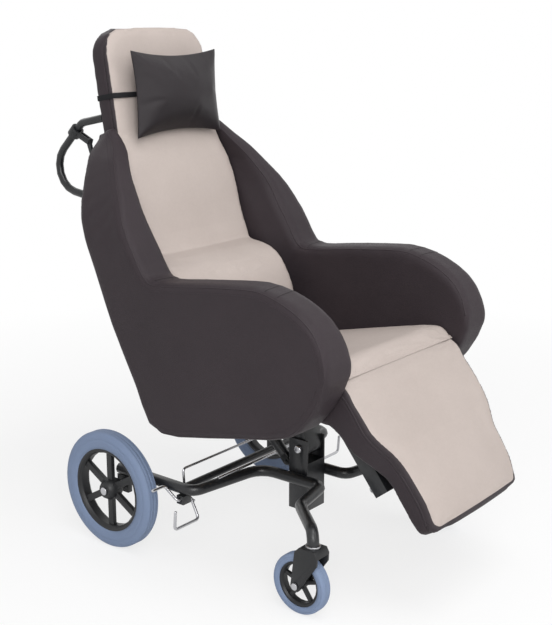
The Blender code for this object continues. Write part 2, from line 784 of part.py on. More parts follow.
def center_post():
    half = POST_WIDTH / 2
    deep = POST_DEPTH / 2
    low = (-half, POST_Y - deep, POST_BOTTOM)
    post = piece("center_post", block(low, (half, POST_Y + deep, cheek_top)), black_paint)
    inner = half - POST_WALL
    slot_low = (-inner, POST_Y - 2 * deep, slot_bottom)
    cut(post, block(slot_low, (inner, POST_Y + 2 * deep, cheek_top + CUT_PAST)))
    back = deep - POST_WALL
    floor = POST_BOTTOM - CUT_PAST
    roof = slot_bottom - POST_WALL
    cut(post, block((-inner, POST_Y - back, floor), (inner, POST_Y + back, roof)))
    bolt = TILT_BOLT_DIAMETER / 2
    wide = half + CUT_PAST
    cut(post, rod((-wide, TILT_Y, TILT_Z), (wide, TILT_Y, TILT_Z), bolt + GAP))
    head = bolt + BOLT_RIM
    end = -half - BOLT_HEAD
    shaft = [(end, 0), (end, head * 0.8), (end + BOLT_DOME, head), (-half - GAP, head)]
    shaft += [(-half - GAP, bolt)]
    shaft += [(-axial, radius) for axial, radius in reversed(shaft)]
    piece("tilt_bolt", lathe(shaft, 16, along_x(0, TILT_Y, TILT_Z)), steel)


def gas_spring():
    foot = Vector((0, SPRING_FOOT_Y, SPRING_FOOT_Z))
    head = seat_place @ Vector((0, SPRING_HEAD_ALONG, -SPRING_HEAD_BELOW))
    run = (head - foot).normalized()
    pin = SPRING_PIN_DIAMETER / 2
    lug_half = SPRING_LUG_THICKNESS / 2
    ear = SPRING_EAR
    barrel_radius = SPRING_BARREL_DIAMETER / 2
    rod_radius = SPRING_ROD_DIAMETER / 2
    post_back = POST_Y + POST_DEPTH / 2
    eye = pin + SPRING_EYE_WALL
    outline = [(post_back + GAP, SPRING_FOOT_Z - SPRING_LUG_BELOW)]
    outline += arc((SPRING_FOOT_Y, SPRING_FOOT_Z), eye, -70, 70, 7)
    outline += [(post_back + GAP, SPRING_FOOT_Z + SPRING_LUG_ABOVE)]
    lug = piece("gas_spring_lug", plate(outline, -lug_half, lug_half), black_paint)
    wide = lug_half + GAP + ear + BOLT_DOME
    join(lug, rod((-wide, *foot.yz), (wide, *foot.yz), pin))

    turn = Matrix.Translation(foot) @ Vector((1, 0, 0)).rotation_difference(run).to_matrix().to_4x4()
    bore = rod_radius + RUNNING_GAP
    start = eye + SPRING_SHOULDER
    end = SPRING_BARREL_LENGTH
    chamfer = barrel_radius - rod_radius - SPRING_EYE_WALL
    body = [(start, 0), (start, barrel_radius)]
    body += [(end - chamfer, barrel_radius), (end, barrel_radius - chamfer)]
    floor = start + SPRING_EYE_WALL
    body += [(end, bore), (floor, bore), (floor, 0)]
    barrel = piece("gas_spring_barrel", lathe(body, 16, turn), black_paint, foot)
    shank = start + SPRING_SHOULDER / 2
    for sign in (-1, 1):
        near = sign * (lug_half + GAP)
        far = sign * (lug_half + GAP + ear)
        angle = math.degrees(math.atan2(run.z, run.y))
        aside = Vector((-run.z, run.y)) * eye
        cheek = [tuple(foot.yz + run.yz * shank + aside)]
        cheek += arc(foot.yz, eye, angle + 90, angle + 270, 9)
        cheek += [tuple(foot.yz + run.yz * shank - aside)]
        join(barrel, plate(cheek, min(near, far), max(near, far)))
    past = wide + CUT_PAST
    cut(barrel, rod((-past, *foot.yz), (past, *foot.yz), pin + RUNNING_GAP))

    inside = floor + SPRING_EYE_WALL + SPRING_STROKE
    loop = pin + SPRING_EYE_SLACK
    loop_out = loop + SPRING_LOOP_WALL
    half = Vector((SPRING_LOOP_WIDTH / 2, 0, 0))
    through = Vector((BRACKET_WIDTH, 0, 0))
    shaft = piece("gas_spring_rod", rod(foot + run * inside, head - run * loop, rod_radius, 16), steel, head)
    join(shaft, rod(head - half, head + half, loop_out, 24))
    cut(shaft, rod(head - through, head + through, loop, 24))

    below = -(SEAT_CUSHION_DEPTH + SEAT_PAN_THICKNESS + 2 * GAP)
    wide = BRACKET_WIDTH / 2
    long = BRACKET_LENGTH / 2
    low = (-wide, SPRING_HEAD_ALONG - long, below - BRACKET_PLATE)
    base = block(low, (wide, SPRING_HEAD_ALONG + long, below), seat_place)
    bracket = piece("spring_bracket", base, black_paint, tilt_axis)
    for sign in (-1, 1):
        near = sign * BRACKET_CLEAR / 2
        far = near + sign * BRACKET_PLATE
        drop = -SPRING_HEAD_BELOW - BRACKET_BELOW
        low = (min(near, far), SPRING_HEAD_ALONG - BRACKET_BELOW, drop)
        high = (max(near, far), SPRING_HEAD_ALONG + BRACKET_BELOW, below - BRACKET_PLATE / 2)
        join(bracket, block(low, high, seat_place))
    cut(bracket, rod(head - through, head + through, pin + GAP))
    cap = pin + BOLT_RIM
    cheek_out = -BRACKET_CLEAR / 2 - BRACKET_PLATE
    end = cheek_out - BRACKET_PLATE
    span = [(end, 0), (end, cap), (cheek_out - GAP, cap), (cheek_out - GAP, pin)]
    span += [(-axial, radius) for axial, radius in reversed(span)]
    piece("spring_pin", lathe(span, 16, along_x(*head)), steel, tilt_axis)


# Brake


def brake():
    wire = BRAKE_WIRE_DIAMETER / 2
    pivot = Vector((0, BRAKE_PIVOT_Y, brake_pivot_z))
    tube_x = tube_spread / 2
    shoe_reach = rear_radius + BRAKE_SHOE_GAP + wire
    shoe_turn = math.radians(BRAKE_SHOE_ANGLE)
    shoe_y = -shoe_reach * math.cos(shoe_turn)
    shoe_z = rear_radius + shoe_reach * math.sin(shoe_turn)
    arm_x = tube_x + tube_radius + wire + BRAKE_TUBE_GAP
    inner_x = tube_x - tube_radius - wire - BRAKE_TUBE_GAP
    outer_x = inner_x + BRAKE_PEDAL_WIDTH
    pedal_y = BRAKE_PIVOT_Y - BRAKE_PEDAL_LEAD
    pedal_z = brake_pivot_z - BRAKE_PEDAL_DROP
    corners = [
        (REAR_TRACK / 2 + 0.4 * REAR_TYRE_WIDTH, shoe_y, shoe_z),
        (arm_x, shoe_y, shoe_z),
        (arm_x, BRAKE_PIVOT_Y, brake_pivot_z),
        (inner_x, BRAKE_PIVOT_Y, brake_pivot_z),
        (inner_x, pedal_y, pedal_z),
        (outer_x, pedal_y, pedal_z),
        (outer_x, pedal_y - BRAKE_TUBE_GAP, pedal_z + BRAKE_PEDAL_RISE),
    ]
    boss_half = BRAKE_BOSS_LENGTH / 2
    boss_y = BRAKE_BOSS_DEPTH / 2
    for side, label in sides:
        low = (side * tube_x - boss_half, BRAKE_PIVOT_Y - boss_y, brake_pivot_z - boss_y)
        high = (side * tube_x + boss_half, BRAKE_PIVOT_Y + boss_y, tube_height - tube_radius - GAP)
        boss = piece("brake_boss_" + label, block(low, high), black_paint)
        ends = [(side * tube_x - 2 * boss_half, *pivot.yz), (side * tube_x + 2 * boss_half, *pivot.yz)]
        cut(boss, rod(*ends, wire + RUNNING_GAP))
        path = bent(mirrored(corners, side), [BRAKE_BEND] * 5, 30)
        tube("brake_lever_" + label, path, wire, steel, pivot, 1)
    link = LINK_ROD_DIAMETER / 2
    end_x = inner_x - wire - link - GAP
    end_y = BRAKE_PIVOT_Y + LINK_ROD_SHARE * (pedal_y - BRAKE_PIVOT_Y)
    end_z = brake_pivot_z - LINK_ROD_SHARE * BRAKE_PEDAL_DROP
    behind = CROSS_TUBE_Y + CROSS_TUBE_DIAMETER / 2 + link + LINK_ROD_GAP
    half = [(end_x, end_y, end_z), (end_x, behind, end_z + LINK_ROD_GAP)]
    half += [(end_x, behind + LINK_ROD_GAP, tube_height + LINK_ROD_RISE)]
    route = mirrored(half, -1) + list(reversed(half))
    tube("brake_link_rod", bent(route, [BRAKE_BEND] * 4, 30), link, steel, pivot, 1)


# Seat frame


def seat_frame():
    pan_top = -(SEAT_CUSHION_DEPTH + GAP)
    pan_low = pan_top - SEAT_PAN_THICKNESS
    rail_top = pan_low - GAP
    rail_low = rail_top - RAIL_SIZE
    for side, label in sides:
        x = side * RAIL_SPREAD / 2
        low = (x - RAIL_SIZE / 2, SEAT_PAN_FRONT + RAIL_SETBACK, rail_low)
        high = (x + RAIL_SIZE / 2, SEAT_PAN_REAR - RAIL_SETBACK, rail_top)
        piece("seat_rail_" + label, block(low, high, seat_place), black_paint, tilt_axis)

    local_pivot = seat_place.inverted() @ tilt_axis
    half = POST_WIDTH / 2 - POST_WALL - RUNNING_GAP
    deep = YOKE_DEPTH / 2
    flange_top = rail_low - GAP
    outline = arc((local_pivot.y, local_pivot.z), deep, 180, 360, 11)
    middle = flange_top - YOKE_FLANGE / 2
    outline += [(local_pivot.y + deep, middle), (local_pivot.y - deep, middle)]
    stem = plate(outline, -half, half)
    stem.transform(seat_place)
    yoke = piece("tilt_yoke", stem, black_paint, tilt_axis)
    wide = RAIL_SPREAD / 2 + RAIL_SIZE / 2
    low = (-wide, local_pivot.y - 2 * deep, flange_top - YOKE_FLANGE)
    join(yoke, block(low, (wide, local_pivot.y + 2 * deep, flange_top), seat_place))
    bore = TILT_BOLT_DIAMETER / 2 + RUNNING_GAP
    through = Vector((POST_WIDTH, 0, 0))
    cut(yoke, rod(tilt_axis - through, tilt_axis + through, bore))

    half = seat_half - SEAM_GAP
    board = block((-half, SEAT_PAN_FRONT, pan_low), (half, SEAT_PAN_REAR, pan_top), seat_place)
    pan = piece("seat_pan", board, plywood, tilt_axis)
    hinge = seat_place.inverted() @ legrest_axis
    pin = LEGREST_PIN_DIAMETER / 2
    eye = pin + HINGE_EYE_WALL
    root = SEAT_PAN_FRONT + SEAT_PAN_THICKNESS
    for side in (-1, 1):
        ear_x = side * HINGE_EAR_SPREAD / 2
        outline = arc((hinge.y, hinge.z), eye, 100, 280, 9)
        outline += [(root, pan_low + 4 * GAP), (root, pan_top - 4 * GAP)]
        ear = plate(outline, ear_x - HINGE_EAR_THICKNESS / 2, ear_x + HINGE_EAR_THICKNESS / 2)
        ear.transform(seat_place)
        join(pan, ear)
    through = Vector((SEAT_WIDTH, 0, 0))
    cut(pan, rod(legrest_axis - through, legrest_axis + through, pin + GAP))
    reach = Vector((legrest_top_width / 2 - PAD_EDGE, 0, 0))
    piece("legrest_pin", rod(legrest_axis - reach, legrest_axis + reach, pin, 16), steel, tilt_axis)


# Upholstered shell


def back_half(z):
    """Half the width of the back: as wide as the seat below, drawn in to the head, round at the top."""
    low = ease((BACK_FLARE_TOP_Z - z) / (BACK_FLARE_TOP_Z - BACK_FLARE_LOW_Z))
    high = ease((z - BACK_DRAW_Z) / (HEAD_START_Z - BACK_DRAW_Z))
    half = BACK_WIDTH / 2 + (HEAD_WIDTH - BACK_WIDTH) / 2 * high
    half += (seat_half - WING_GAP - BACK_WIDTH / 2) * low
    over = min(max(z - (HEAD_TOP_Z - HEAD_CORNER), 0), HEAD_CORNER)
    return half - HEAD_CORNER + math.sqrt(HEAD_CORNER**2 - over**2)


def side_panel(side, label):
    """A padded strip from the wing's top to the armrest's front, lofted through round-cornered sections."""
    rears = smooth([(y, z) for y, z, _, _ in PANEL_EDGES], 30)
    fronts = smooth([(y, z) for _, _, y, z in PANEL_EDGES], 30)
    rings = []
    for rear, front in zip(rears, fronts):
        run = front.xy - rear.xy
        width = run.length
        radius = min(PANEL_EDGE, 0.48 * width)
        ring = []
        corners = ((0, 0, 180), (1, 0, 270), (1, 1, 0), (0, 1, 90))
        for along, across, start in corners:
            middle_u = width - radius if along else radius
            middle_v = PANEL_THICKNESS - radius if across else radius
            for turn in (0, 45, 90):
                swing = math.radians(start + turn)
                ring.append((middle_u + radius * math.cos(swing), middle_v + radius * math.sin(swing)))
        ring.insert(3, (width / 2, 0))
        ring.insert(10, (width / 2, PANEL_THICKNESS))
        placed = []
        for u, v in ring:
            spot = rear.xy + run * (u / width)
            placed.append((side * panel_x(spot, u / width, v / PANEL_THICKNESS), spot.x, spot.y))
        rings.append(placed)
    return piece("side_panel_" + label, loft(rings), brown_vinyl, tilt_axis)


def panel_x(spot, along, across):
    """How far out a side panel's point lies; the wing draws in towards the head."""
    y, z = spot
    rise = min(max((z - WING_DRAW_Z) / (HEAD_START_Z + WING_DRAW_OVER - WING_DRAW_Z), 0), 1)
    draw = rise * rise * (2.2 - 1.2 * rise)
    beside = back_half(min(z, HEAD_START_Z)) + WING_GAP
    outer = panel_outer + (HEAD_WIDTH / 2 + WING_TIP - panel_outer) * draw
    near_back = min(max((y - ARM_DRAW_Y) / ARM_DRAW_RUN, 0), 1)
    inner_rear = seat_half + (beside - seat_half) * near_back
    lean = min(max((z - WING_LEAN_Z) / WING_LEAN_RISE, 0), 1)
    inner_front = seat_half + (beside - seat_half) * lean
    flare = max(along - WING_FLARE_START, 0) / (1 - WING_FLARE_START)
    inner = max(inner_rear + (inner_front - inner_rear) * flare, beside)
    return inner + (outer - inner) * across


def head_steps():
    """Heights round the head's top corners by even turns, and how far each has turned in."""
    low = HEAD_TOP_Z - HEAD_CORNER
    turns = [math.radians(turn) for turn in (18, 36, 54, 72)]
    return [(low + HEAD_CORNER * math.sin(turn), 1 - math.cos(turn)) for turn in turns]


def back_lines():
    """The rear and the front face of the shell, and the front face of its pad, as rising (y, z) lines."""
    rear = flat(smooth(BACK_REAR, 18))
    front = flat(smooth(BACK_FRONT, 12))
    (y0, z0), (y1, z1) = BACK_REAR[-2], BACK_REAR[-1]
    lean = (y1 - y0) / (z1 - z0)
    rear_y, rear_z = rear[-1]
    front_y, front_z = front[-1]
    rear += [(rear_y + lean * (z - rear_z) - HEAD_ROLL * turned, z) for z, turned in head_steps()]
    front += [(front_y + lean * (z - front_z), z) for z, _ in head_steps()]
    low = [spot for spot in offset_line(rear, BACK_SHELL_THICKNESS) if spot[1] < front[0][1] - BACK_PAD_DEPTH]
    return rear, low + offset_line(front, -BACK_PAD_DEPTH), front


def back():
    rear, face, front = back_lines()
    shell = padded(rear + list(reversed(face)), lambda y, z: back_half(z), SHELL_EDGE, lambda y, z: 0, 1)
    piece("back_shell", shell, brown_vinyl, tilt_axis)

    behind = offset_line(front, -(BACK_PAD_DEPTH - GAP))
    crown = lambda y, z: BACK_PAD_CROWN if (y, z) in crowned else 0
    crowned = set(front)
    pad = padded(front + list(reversed(behind)), lambda y, z: back_half(z), PAD_EDGE, crown)
    piece("back_cushion", pad, beige_fabric, tilt_axis)

    lead = flat(smooth(LUMBAR_FRONT, 14))
    behind = [spot for spot in offset_line(face, GAP) if LUMBAR_FOOT_Z < spot[1] < LUMBAR_HEAD_Z]
    crowned = set(lead)
    crown = lambda y, z: LUMBAR_CROWN if (y, z) in crowned and z < LUMBAR_CROWN_Z else 0
    roll = padded(lead + behind, lambda y, z: BACK_WIDTH / 2, LUMBAR_EDGE, crown)
    piece("lumbar_cushion", roll, beige_fabric, tilt_axis)


def seat_top(y):
    return SEAT_Z + (SEAT_Y - y) * math.tan(math.radians(SEAT_SLOPE))


def seat_cushion():
    """A sloping pad whose front lip ends over the legrest's round upper end."""
    clear = LEGREST_KNUCKLE + LEGREST_SWING_GAP
    rear_y = SEAT_Y + SEAT_REAR_RUN
    rear_low_y = rear_y - SEAT_REAR_UNDERCUT
    front_y = SEAT_Y - SEAT_FRONT_RUN
    drop = SEAT_CUSHION_DEPTH / math.cos(math.radians(SEAT_SLOPE))
    tops = []
    for i in range(11):
        y = rear_y + (front_y - rear_y) * i / 10
        tops.append((y, seat_top(y)))
    hollow = arc((LEGREST_Y, LEGREST_Z), clear, 124, 10, 11)
    tip = hollow[0]
    lip = [tops[-1]] + [(tip[0] + y, tip[1] + z) for y, z in SEAT_LIP] + [tip]
    nose = flat(smooth(lip, 7))[1:-1]
    low_front_y = hollow[-1][0] + PAD_EDGE
    bottom = [(low_front_y, seat_top(low_front_y) - drop), (rear_low_y, seat_top(rear_low_y) - drop)]
    outline = tops + nose + hollow + bottom
    shares = {tops[i]: i / 10 for i in range(11)}

    def crown(y, z):
        share = shares.get((y, z), 0)
        return 4 * SEAT_CROWN * share * (1 - share)

    half = seat_half - SEAM_GAP
    piece("seat_cushion", padded(outline, lambda y, z: half, PAD_EDGE, crown, 6), beige_fabric, tilt_axis)


# Legrest


def legrest_end(spot):
    """How far a (y, z) point of the legrest lies from its lower end."""
    end = Vector(LEGREST_TOP[-1])
    along = (Vector(LEGREST_TOP[-4]) - end).normalized()
    return (Vector(spot) - end).dot(along)


def legrest_half(y, z):
    """Half the width of the legrest, which flares to the seat and is round at its lower corners."""
    far = legrest_end((y, z))
    low = min(max(far / LEGREST_WAIST, 0), 1)
    high = min(max((far - LEGREST_WAIST) / LEGREST_FLARE, 0), 1)
    high = high * high * (3 - 2 * high)
    width = LEGREST_END_WIDTH + (LEGREST_WAIST_WIDTH - LEGREST_END_WIDTH) * low
    width += (legrest_top_width - LEGREST_WAIST_WIDTH) * high
    over = min(max(LEGREST_CORNER - far, 0), LEGREST_CORNER)
    return width / 2 - LEGREST_CORNER + math.sqrt(LEGREST_CORNER**2 - over**2)


def round_end(line):
    """The line with its last stretch drawn by even turns round the legrest's lower corners."""
    kept = [spot for spot in line if legrest_end(spot) > LEGREST_CORNER + PAD_EDGE]
    last = Vector(line[-1])
    run = Vector(kept[-1]) - last
    reach = legrest_end(kept[-1]) - legrest_end(line[-1])
    for turn in (0, 30, 60, 90):
        along = LEGREST_CORNER * (1 - math.sin(math.radians(turn))) - legrest_end(line[-1])
        kept.append(tuple(last + run * max(along, 0) / reach))
    return kept


def legrest():
    wrap = arc((LEGREST_Y, LEGREST_Z), LEGREST_KNUCKLE, 96, 128, 4)
    top = round_end(flat(smooth(wrap + LEGREST_TOP, 20)))
    under = round_end(flat(smooth(LEGREST_UNDER, 13)))
    seam = offset_line(top, LEGREST_PAD_DEPTH)
    pad_low = offset_line(top, LEGREST_PAD_DEPTH - GAP)
    flat_end = (LEGREST_FLARE + LEGREST_WAIST) * 0.95

    def crown(y, z):
        if (y, z) not in surface:
            return 0
        return LEGREST_CROWN * min(max((flat_end - legrest_end((y, z))) / LEGREST_CROWN_RUN, 0), 1)

    surface = set(top)
    pad = padded(top + list(reversed(pad_low)), legrest_half, PAD_EDGE, crown)
    piece("legrest_pad", pad, beige_fabric, legrest_axis)
    heel_y, heel_z = LEGREST_HEEL_RISE
    knuckle = [(LEGREST_Y + heel_y, LEGREST_Z + heel_z)]
    knuckle += arc((LEGREST_Y, LEGREST_Z), LEGREST_HEEL_RADIUS, 40, -70, 6)
    outline = list(reversed(seam)) + knuckle + under
    body = padded(outline, legrest_half, SHELL_EDGE, lambda y, z: 0, 1)
    shell = piece("legrest_shell", body, brown_vinyl, legrest_axis)
    wide = Vector((legrest_top_width, 0, 0))
    cut(shell, rod(legrest_axis - wide, legrest_axis + wide, LEGREST_PIN_DIAMETER / 2 + RUNNING_GAP))
    eye = LEGREST_PIN_DIAMETER / 2 + HINGE_EYE_WALL + HINGE_SLOT_GAP
    slot = arc((LEGREST_Y, LEGREST_Z), HINGE_SLOT_REACH, HINGE_SLOT_LOW, HINGE_SLOT_HIGH, 7)
    slot += arc((LEGREST_Y, LEGREST_Z), eye, HINGE_SLOT_HIGH + 15, HINGE_SLOT_LOW + 345, 9)
    slot_half = HINGE_EAR_THICKNESS / 2 + 2 * RUNNING_GAP
    for side, label in sides:
        ear_x = side * HINGE_EAR_SPREAD / 2
        cut(shell, plate(slot, ear_x - slot_half, ear_x + slot_half))
        foot_rail(side, label)


def foot_rail(side, label):
    """A square tube that leaves the legrest's underside, open below for a foot plate's stem."""
    turn = Matrix.Rotation(math.radians(FOOT_RAIL_SLOPE), 4, "X")
    place = Matrix.Translation((side * FOOT_RAIL_SPREAD / 2, FOOT_RAIL_Y, FOOT_RAIL_Z)) @ turn
    half = FOOT_RAIL_WIDTH / 2
    high = FOOT_RAIL_HEIGHT
    body = block((-half, 0, 0), (half, FOOT_RAIL_LENGTH, high), place)
    rail = piece("foot_rail_" + label, body, black_paint, legrest_axis)
    saddle = (half, FOOT_RAIL_LENGTH, high + FOOT_RAIL_SADDLE)
    join(rail, block((-half, FOOT_RAIL_BORE + FOOT_RAIL_SOLID, high / 2), saddle, place))
    under = round_end(flat(smooth(LEGREST_UNDER, 13)))
    x = side * FOOT_RAIL_SPREAD / 2
    above = offset_line(under, GAP) + list(reversed(offset_line(under, -FOOT_RAIL_LENGTH)))
    cut(rail, plate(above, x - 2 * half, x + 2 * half))
    wall = FOOT_RAIL_WALL
    cut(rail, block((-half + wall, -CUT_PAST, wall), (half - wall, FOOT_RAIL_BORE, high - wall), place))
    start = place @ Vector((0, FOOT_SCREW_ALONG, -GAP))
    end = place @ Vector((0, FOOT_SCREW_ALONG, -FOOT_SCREW_HEIGHT))
    piece("foot_rail_screw_" + label, rod(start, end, FOOT_SCREW_DIAMETER / 2, 12), steel, legrest_axis)


# Push handles, release lever and cable


def handle_corners(x):
    back_top = height_on(BACK_REAR, HANDLE_TOP_Z) - HANDLE_SUNK
    back_low = height_on(BACK_REAR, HANDLE_LOW_Z) - HANDLE_SUNK
    grip = [(x, y, z) for y, z in HANDLE_GRIP]
    return [(x, back_top, HANDLE_TOP_Z)] + grip + [(x, back_low, HANDLE_LOW_Z)]


def push_handles():
    radius = HANDLE_DIAMETER / 2
    rear, _, _ = back_lines()
    shell_cut = offset_line(rear, -GAP)
    front_cut = offset_line(rear, 3 * BACK_SHELL_THICKNESS)
    for side, label in sides:
        corners = handle_corners(side * HANDLE_SPREAD / 2)
        made = tube("push_handle_" + label, bent(corners, HANDLE_BENDS), radius, black_paint, tilt_axis)
        x = side * HANDLE_SPREAD / 2
        cut(made, plate(shell_cut + list(reversed(front_cut)), x - 3 * radius, x + 3 * radius))


def release_lever():
    x = -HANDLE_SPREAD / 2
    corners = [Vector(c) for c in handle_corners(x)]
    run = (corners[2] - corners[1]).normalized()
    collar = corners[1] + run * CLAMP_ALONG
    turn = Matrix.Translation(collar) @ Vector((1, 0, 0)).rotation_difference(run).to_matrix().to_4x4()
    bore = HANDLE_DIAMETER / 2 + GAP
    outer = bore + CLAMP_WALL
    half = CLAMP_LENGTH / 2
    ring = [(-half, bore), (-half, outer), (half, outer), (half, bore)]
    clamp = piece("lever_clamp", lathe(ring, 24, turn), black_plastic, tilt_axis)
    slope = math.radians(CLAMP_SLOPE)
    arm = Vector((0, -math.cos(slope), -math.sin(slope)))
    lift = Vector((0, math.sin(slope), -math.cos(slope)))
    pivot = collar + arm * CLAMP_REACH
    blade = LEVER_THICKNESS / 2
    pin = LEVER_PIN / 2
    root = collar + arm * (bore + CLAMP_WALL * 0.8)
    nose = pivot + arm * LEVER_EYE
    for sign in (-1, 1):
        near = sign * (blade + GAP)
        far = sign * (blade + GAP + CLAMP_CHEEK)
        corners = [root + lift * LEVER_EYE, nose + lift * LEVER_EYE]
        corners += [nose - lift * LEVER_EYE, root - lift * LEVER_EYE]
        cheek = plate([tuple(c.yz) for c in corners], x + min(near, far), x + max(near, far))
        join(clamp, cheek)
    wide = Vector((blade + CLAMP_CHEEK, 0, 0))
    join(clamp, rod(pivot - wide, pivot + wide, pin, 12))
    slope = math.radians(LEVER_SLOPE)
    down = Vector((0, -math.cos(slope), -math.sin(slope)))
    across = Vector((0, math.sin(slope), -math.cos(slope)))
    edge = across * LEVER_TIP / 2
    tip = pivot + down * LEVER_LENGTH
    outline = [tuple(c.yz) for c in (tip - edge, tip + edge)]
    angle = math.degrees(math.atan2(across.z, across.y))
    outline += arc(pivot.yz, LEVER_EYE, angle, angle + 180, 9)
    lever = piece("tilt_lever", plate(outline, x - blade, x + blade), black_plastic, pivot)
    cut(lever, rod(pivot - wide * 2, pivot + wide * 2, pin + RUNNING_GAP, 12))

    radius = CABLE_DIAMETER / 2
    rear, _, _ = back_lines()
    skin = offset_line(rear, -(radius + 4 * SEAM_GAP))
    start = pivot + Vector((blade + CLAMP_CHEEK + radius + 2 * GAP, 0, 0))
    route = [start + Vector(step) for step in CABLE_LEAVE]
    for i in range(12):
        share = i / 11
        z = CABLE_HIGH_Z + (CABLE_LOW_Z - CABLE_HIGH_Z) * share
        x = start.x + CABLE_SIDE_START + CABLE_SIDE_RUN * share
        route.append(Vector((x, height_on(skin, z), z)))
    beside = -BRACKET_WIDTH / 2 - radius - GAP
    head = seat_place @ Vector((beside, SPRING_HEAD_ALONG, CABLE_ABOVE_PIN - SPRING_HEAD_BELOW))
    route += [head + Vector(step) for step in CABLE_ARRIVE]
    tube("release_cable", smooth(route, 30), radius, black_plastic, tilt_axis, 1)


# Head pillow and strap


def head_place():
    """The head's own frame: X across, Y into the panel, Z up along it, at the pillow's middle."""
    (y0, z0), (y1, z1) = BACK_FRONT[-2], BACK_FRONT[-1]
    lean = math.atan2(y1 - y0, z1 - z0)
    y = y0 + (y1 - y0) * (PILLOW_Z - z0) / (z1 - z0)
    return Matrix.Translation((0, y, PILLOW_Z)) @ Matrix.Rotation(-lean, 4, "X")


def pillow():
    """Two crowned faces that meet in a seam, with pointed corners and a flat where it rests on the head."""
    foot = Matrix.Translation((0, 0, -PILLOW_HEIGHT / 2))
    head = head_place()
    place = head @ foot @ Matrix.Rotation(math.radians(PILLOW_LEAN), 4, "X") @ foot.inverted()
    columns = 12
    rows = 9
    resting = -(BACK_PAD_CROWN + STRAP_THICKNESS + 3 * GAP)
    mesh = bmesh.new()
    grids = []
    for depth in (-PILLOW_FRONT, PILLOW_REAR):
        grid = []
        for row in range(rows + 1):
            v = 2 * row / rows - 1
            line = []
            for column in range(columns + 1):
                u = 2 * column / columns - 1
                swell = (1 - u**4) ** 0.75 * (1 - v**4) ** 0.75
                x = PILLOW_X + u * PILLOW_WIDTH / 2 * (1 - PILLOW_DRAW_X * (1 - v * v))
                z = v * PILLOW_HEIGHT / 2 * (1 - PILLOW_DRAW_Z * (1 - u * u))
                edge = abs(u) == 1 or abs(v) == 1
                if edge and depth > 0:
                    line.append(grids[0][row][column])
                    continue
                spot = head.inverted() @ place @ Vector((x, depth * swell - PILLOW_SEAM, z))
                spot.y = min(spot.y, resting)
                line.append(mesh.verts.new(head @ spot))
            grid.append(line)
        grids.append(grid)
    for grid in grids:
        for row in range(rows):
            for column in range(columns):
                a, b = grid[row][column], grid[row][column + 1]
                c, d = grid[row + 1][column + 1], grid[row + 1][column]
                mesh.faces.new((a, b, c, d))
    piece("head_pillow", mesh, pillow_vinyl, tilt_axis)


def strap():
    place = head_place()
    half = HEAD_WIDTH / 2 + GAP
    lead = -(BACK_PAD_CROWN + GAP)
    rear, _, _ = back_lines()
    local = [place.inverted() @ Vector((0, y, z)) for y, z in rear]
    behind = [(spot.y, spot.z) for spot in local]
    trail = max(height_on(behind, -STRAP_WIDTH / 2), height_on(behind, STRAP_WIDTH / 2)) + 3 * GAP
    corner = STRAP_CORNER
    loop = []
    for center, start in (((half - corner, trail - corner), 0), ((corner - half, trail - corner), 90),
                          ((corner - half, lead + corner), 180), ((half - corner, lead + corner), 270)):
        loop += arc(center, corner, start, start + 90, 4)
    outer = moved(loop, lambda i: STRAP_THICKNESS)
    wide = STRAP_WIDTH / 2
    mesh = bmesh.new()
    rings = []
    for (x_in, y_in), (x_out, y_out) in zip(loop, outer):
        corners = [(x_in, y_in, -wide), (x_out, y_out, -wide), (x_out, y_out, wide), (x_in, y_in, wide)]
        rings.append([mesh.verts.new(place @ Vector(c)) for c in corners])
    bridge(mesh, rings + rings[:1])
    piece("pillow_strap", mesh, black_elastic, tilt_axis)


for side, label in sides:
    rear_wheel(side, label)
    rear_axle(side, label)
    caster(side, label)
    side_panel(side, label)
base_frame()
center_post()
gas_spring()
brake()
seat_frame()
back()
seat_cushion()
legrest()
push_handles()
release_lever()
pillow()
strap()
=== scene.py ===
import json
import math

import bmesh
import bpy
import numpy as np
from mathutils import Matrix, Vector, noise
from mathutils.bvhtree import BVHTree


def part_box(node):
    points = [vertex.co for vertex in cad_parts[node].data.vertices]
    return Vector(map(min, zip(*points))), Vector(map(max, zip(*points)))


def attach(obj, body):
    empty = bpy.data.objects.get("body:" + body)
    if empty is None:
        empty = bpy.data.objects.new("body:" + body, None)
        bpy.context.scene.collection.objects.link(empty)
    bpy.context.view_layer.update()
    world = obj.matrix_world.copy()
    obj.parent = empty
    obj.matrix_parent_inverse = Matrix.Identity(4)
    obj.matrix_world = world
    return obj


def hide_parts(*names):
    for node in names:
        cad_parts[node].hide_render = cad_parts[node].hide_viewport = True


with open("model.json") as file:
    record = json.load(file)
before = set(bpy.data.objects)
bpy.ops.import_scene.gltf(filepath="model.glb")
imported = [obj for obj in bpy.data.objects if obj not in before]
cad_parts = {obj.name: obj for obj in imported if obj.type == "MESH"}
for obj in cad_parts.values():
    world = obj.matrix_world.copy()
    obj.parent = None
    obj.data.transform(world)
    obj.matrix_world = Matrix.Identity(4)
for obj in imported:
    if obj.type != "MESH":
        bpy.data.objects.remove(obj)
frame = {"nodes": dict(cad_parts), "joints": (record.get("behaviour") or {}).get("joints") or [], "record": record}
nodes = frame["nodes"]
scene = bpy.context.scene
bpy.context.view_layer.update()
jointNamed = {joint["name"]: joint for joint in frame["joints"]}
sides = {"Right": -1, "Left": 1}
axleLow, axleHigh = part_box("rear_tyre_right")
rearAxle = (axleLow.y + axleHigh.y) / 2
print("frame loaded:", len(nodes), "nodes")


# Node trees

def add(tree, kind, sockets=None, **options):
    node = tree.nodes.new("ShaderNode" + kind)
    for name, value in options.items():
        setattr(node, name, value)
    for key, value in (sockets or {}).items():
        if isinstance(value, bpy.types.NodeSocket):
            tree.links.new(value, node.inputs[key])
        else:
            node.inputs[key].default_value = value
    return node


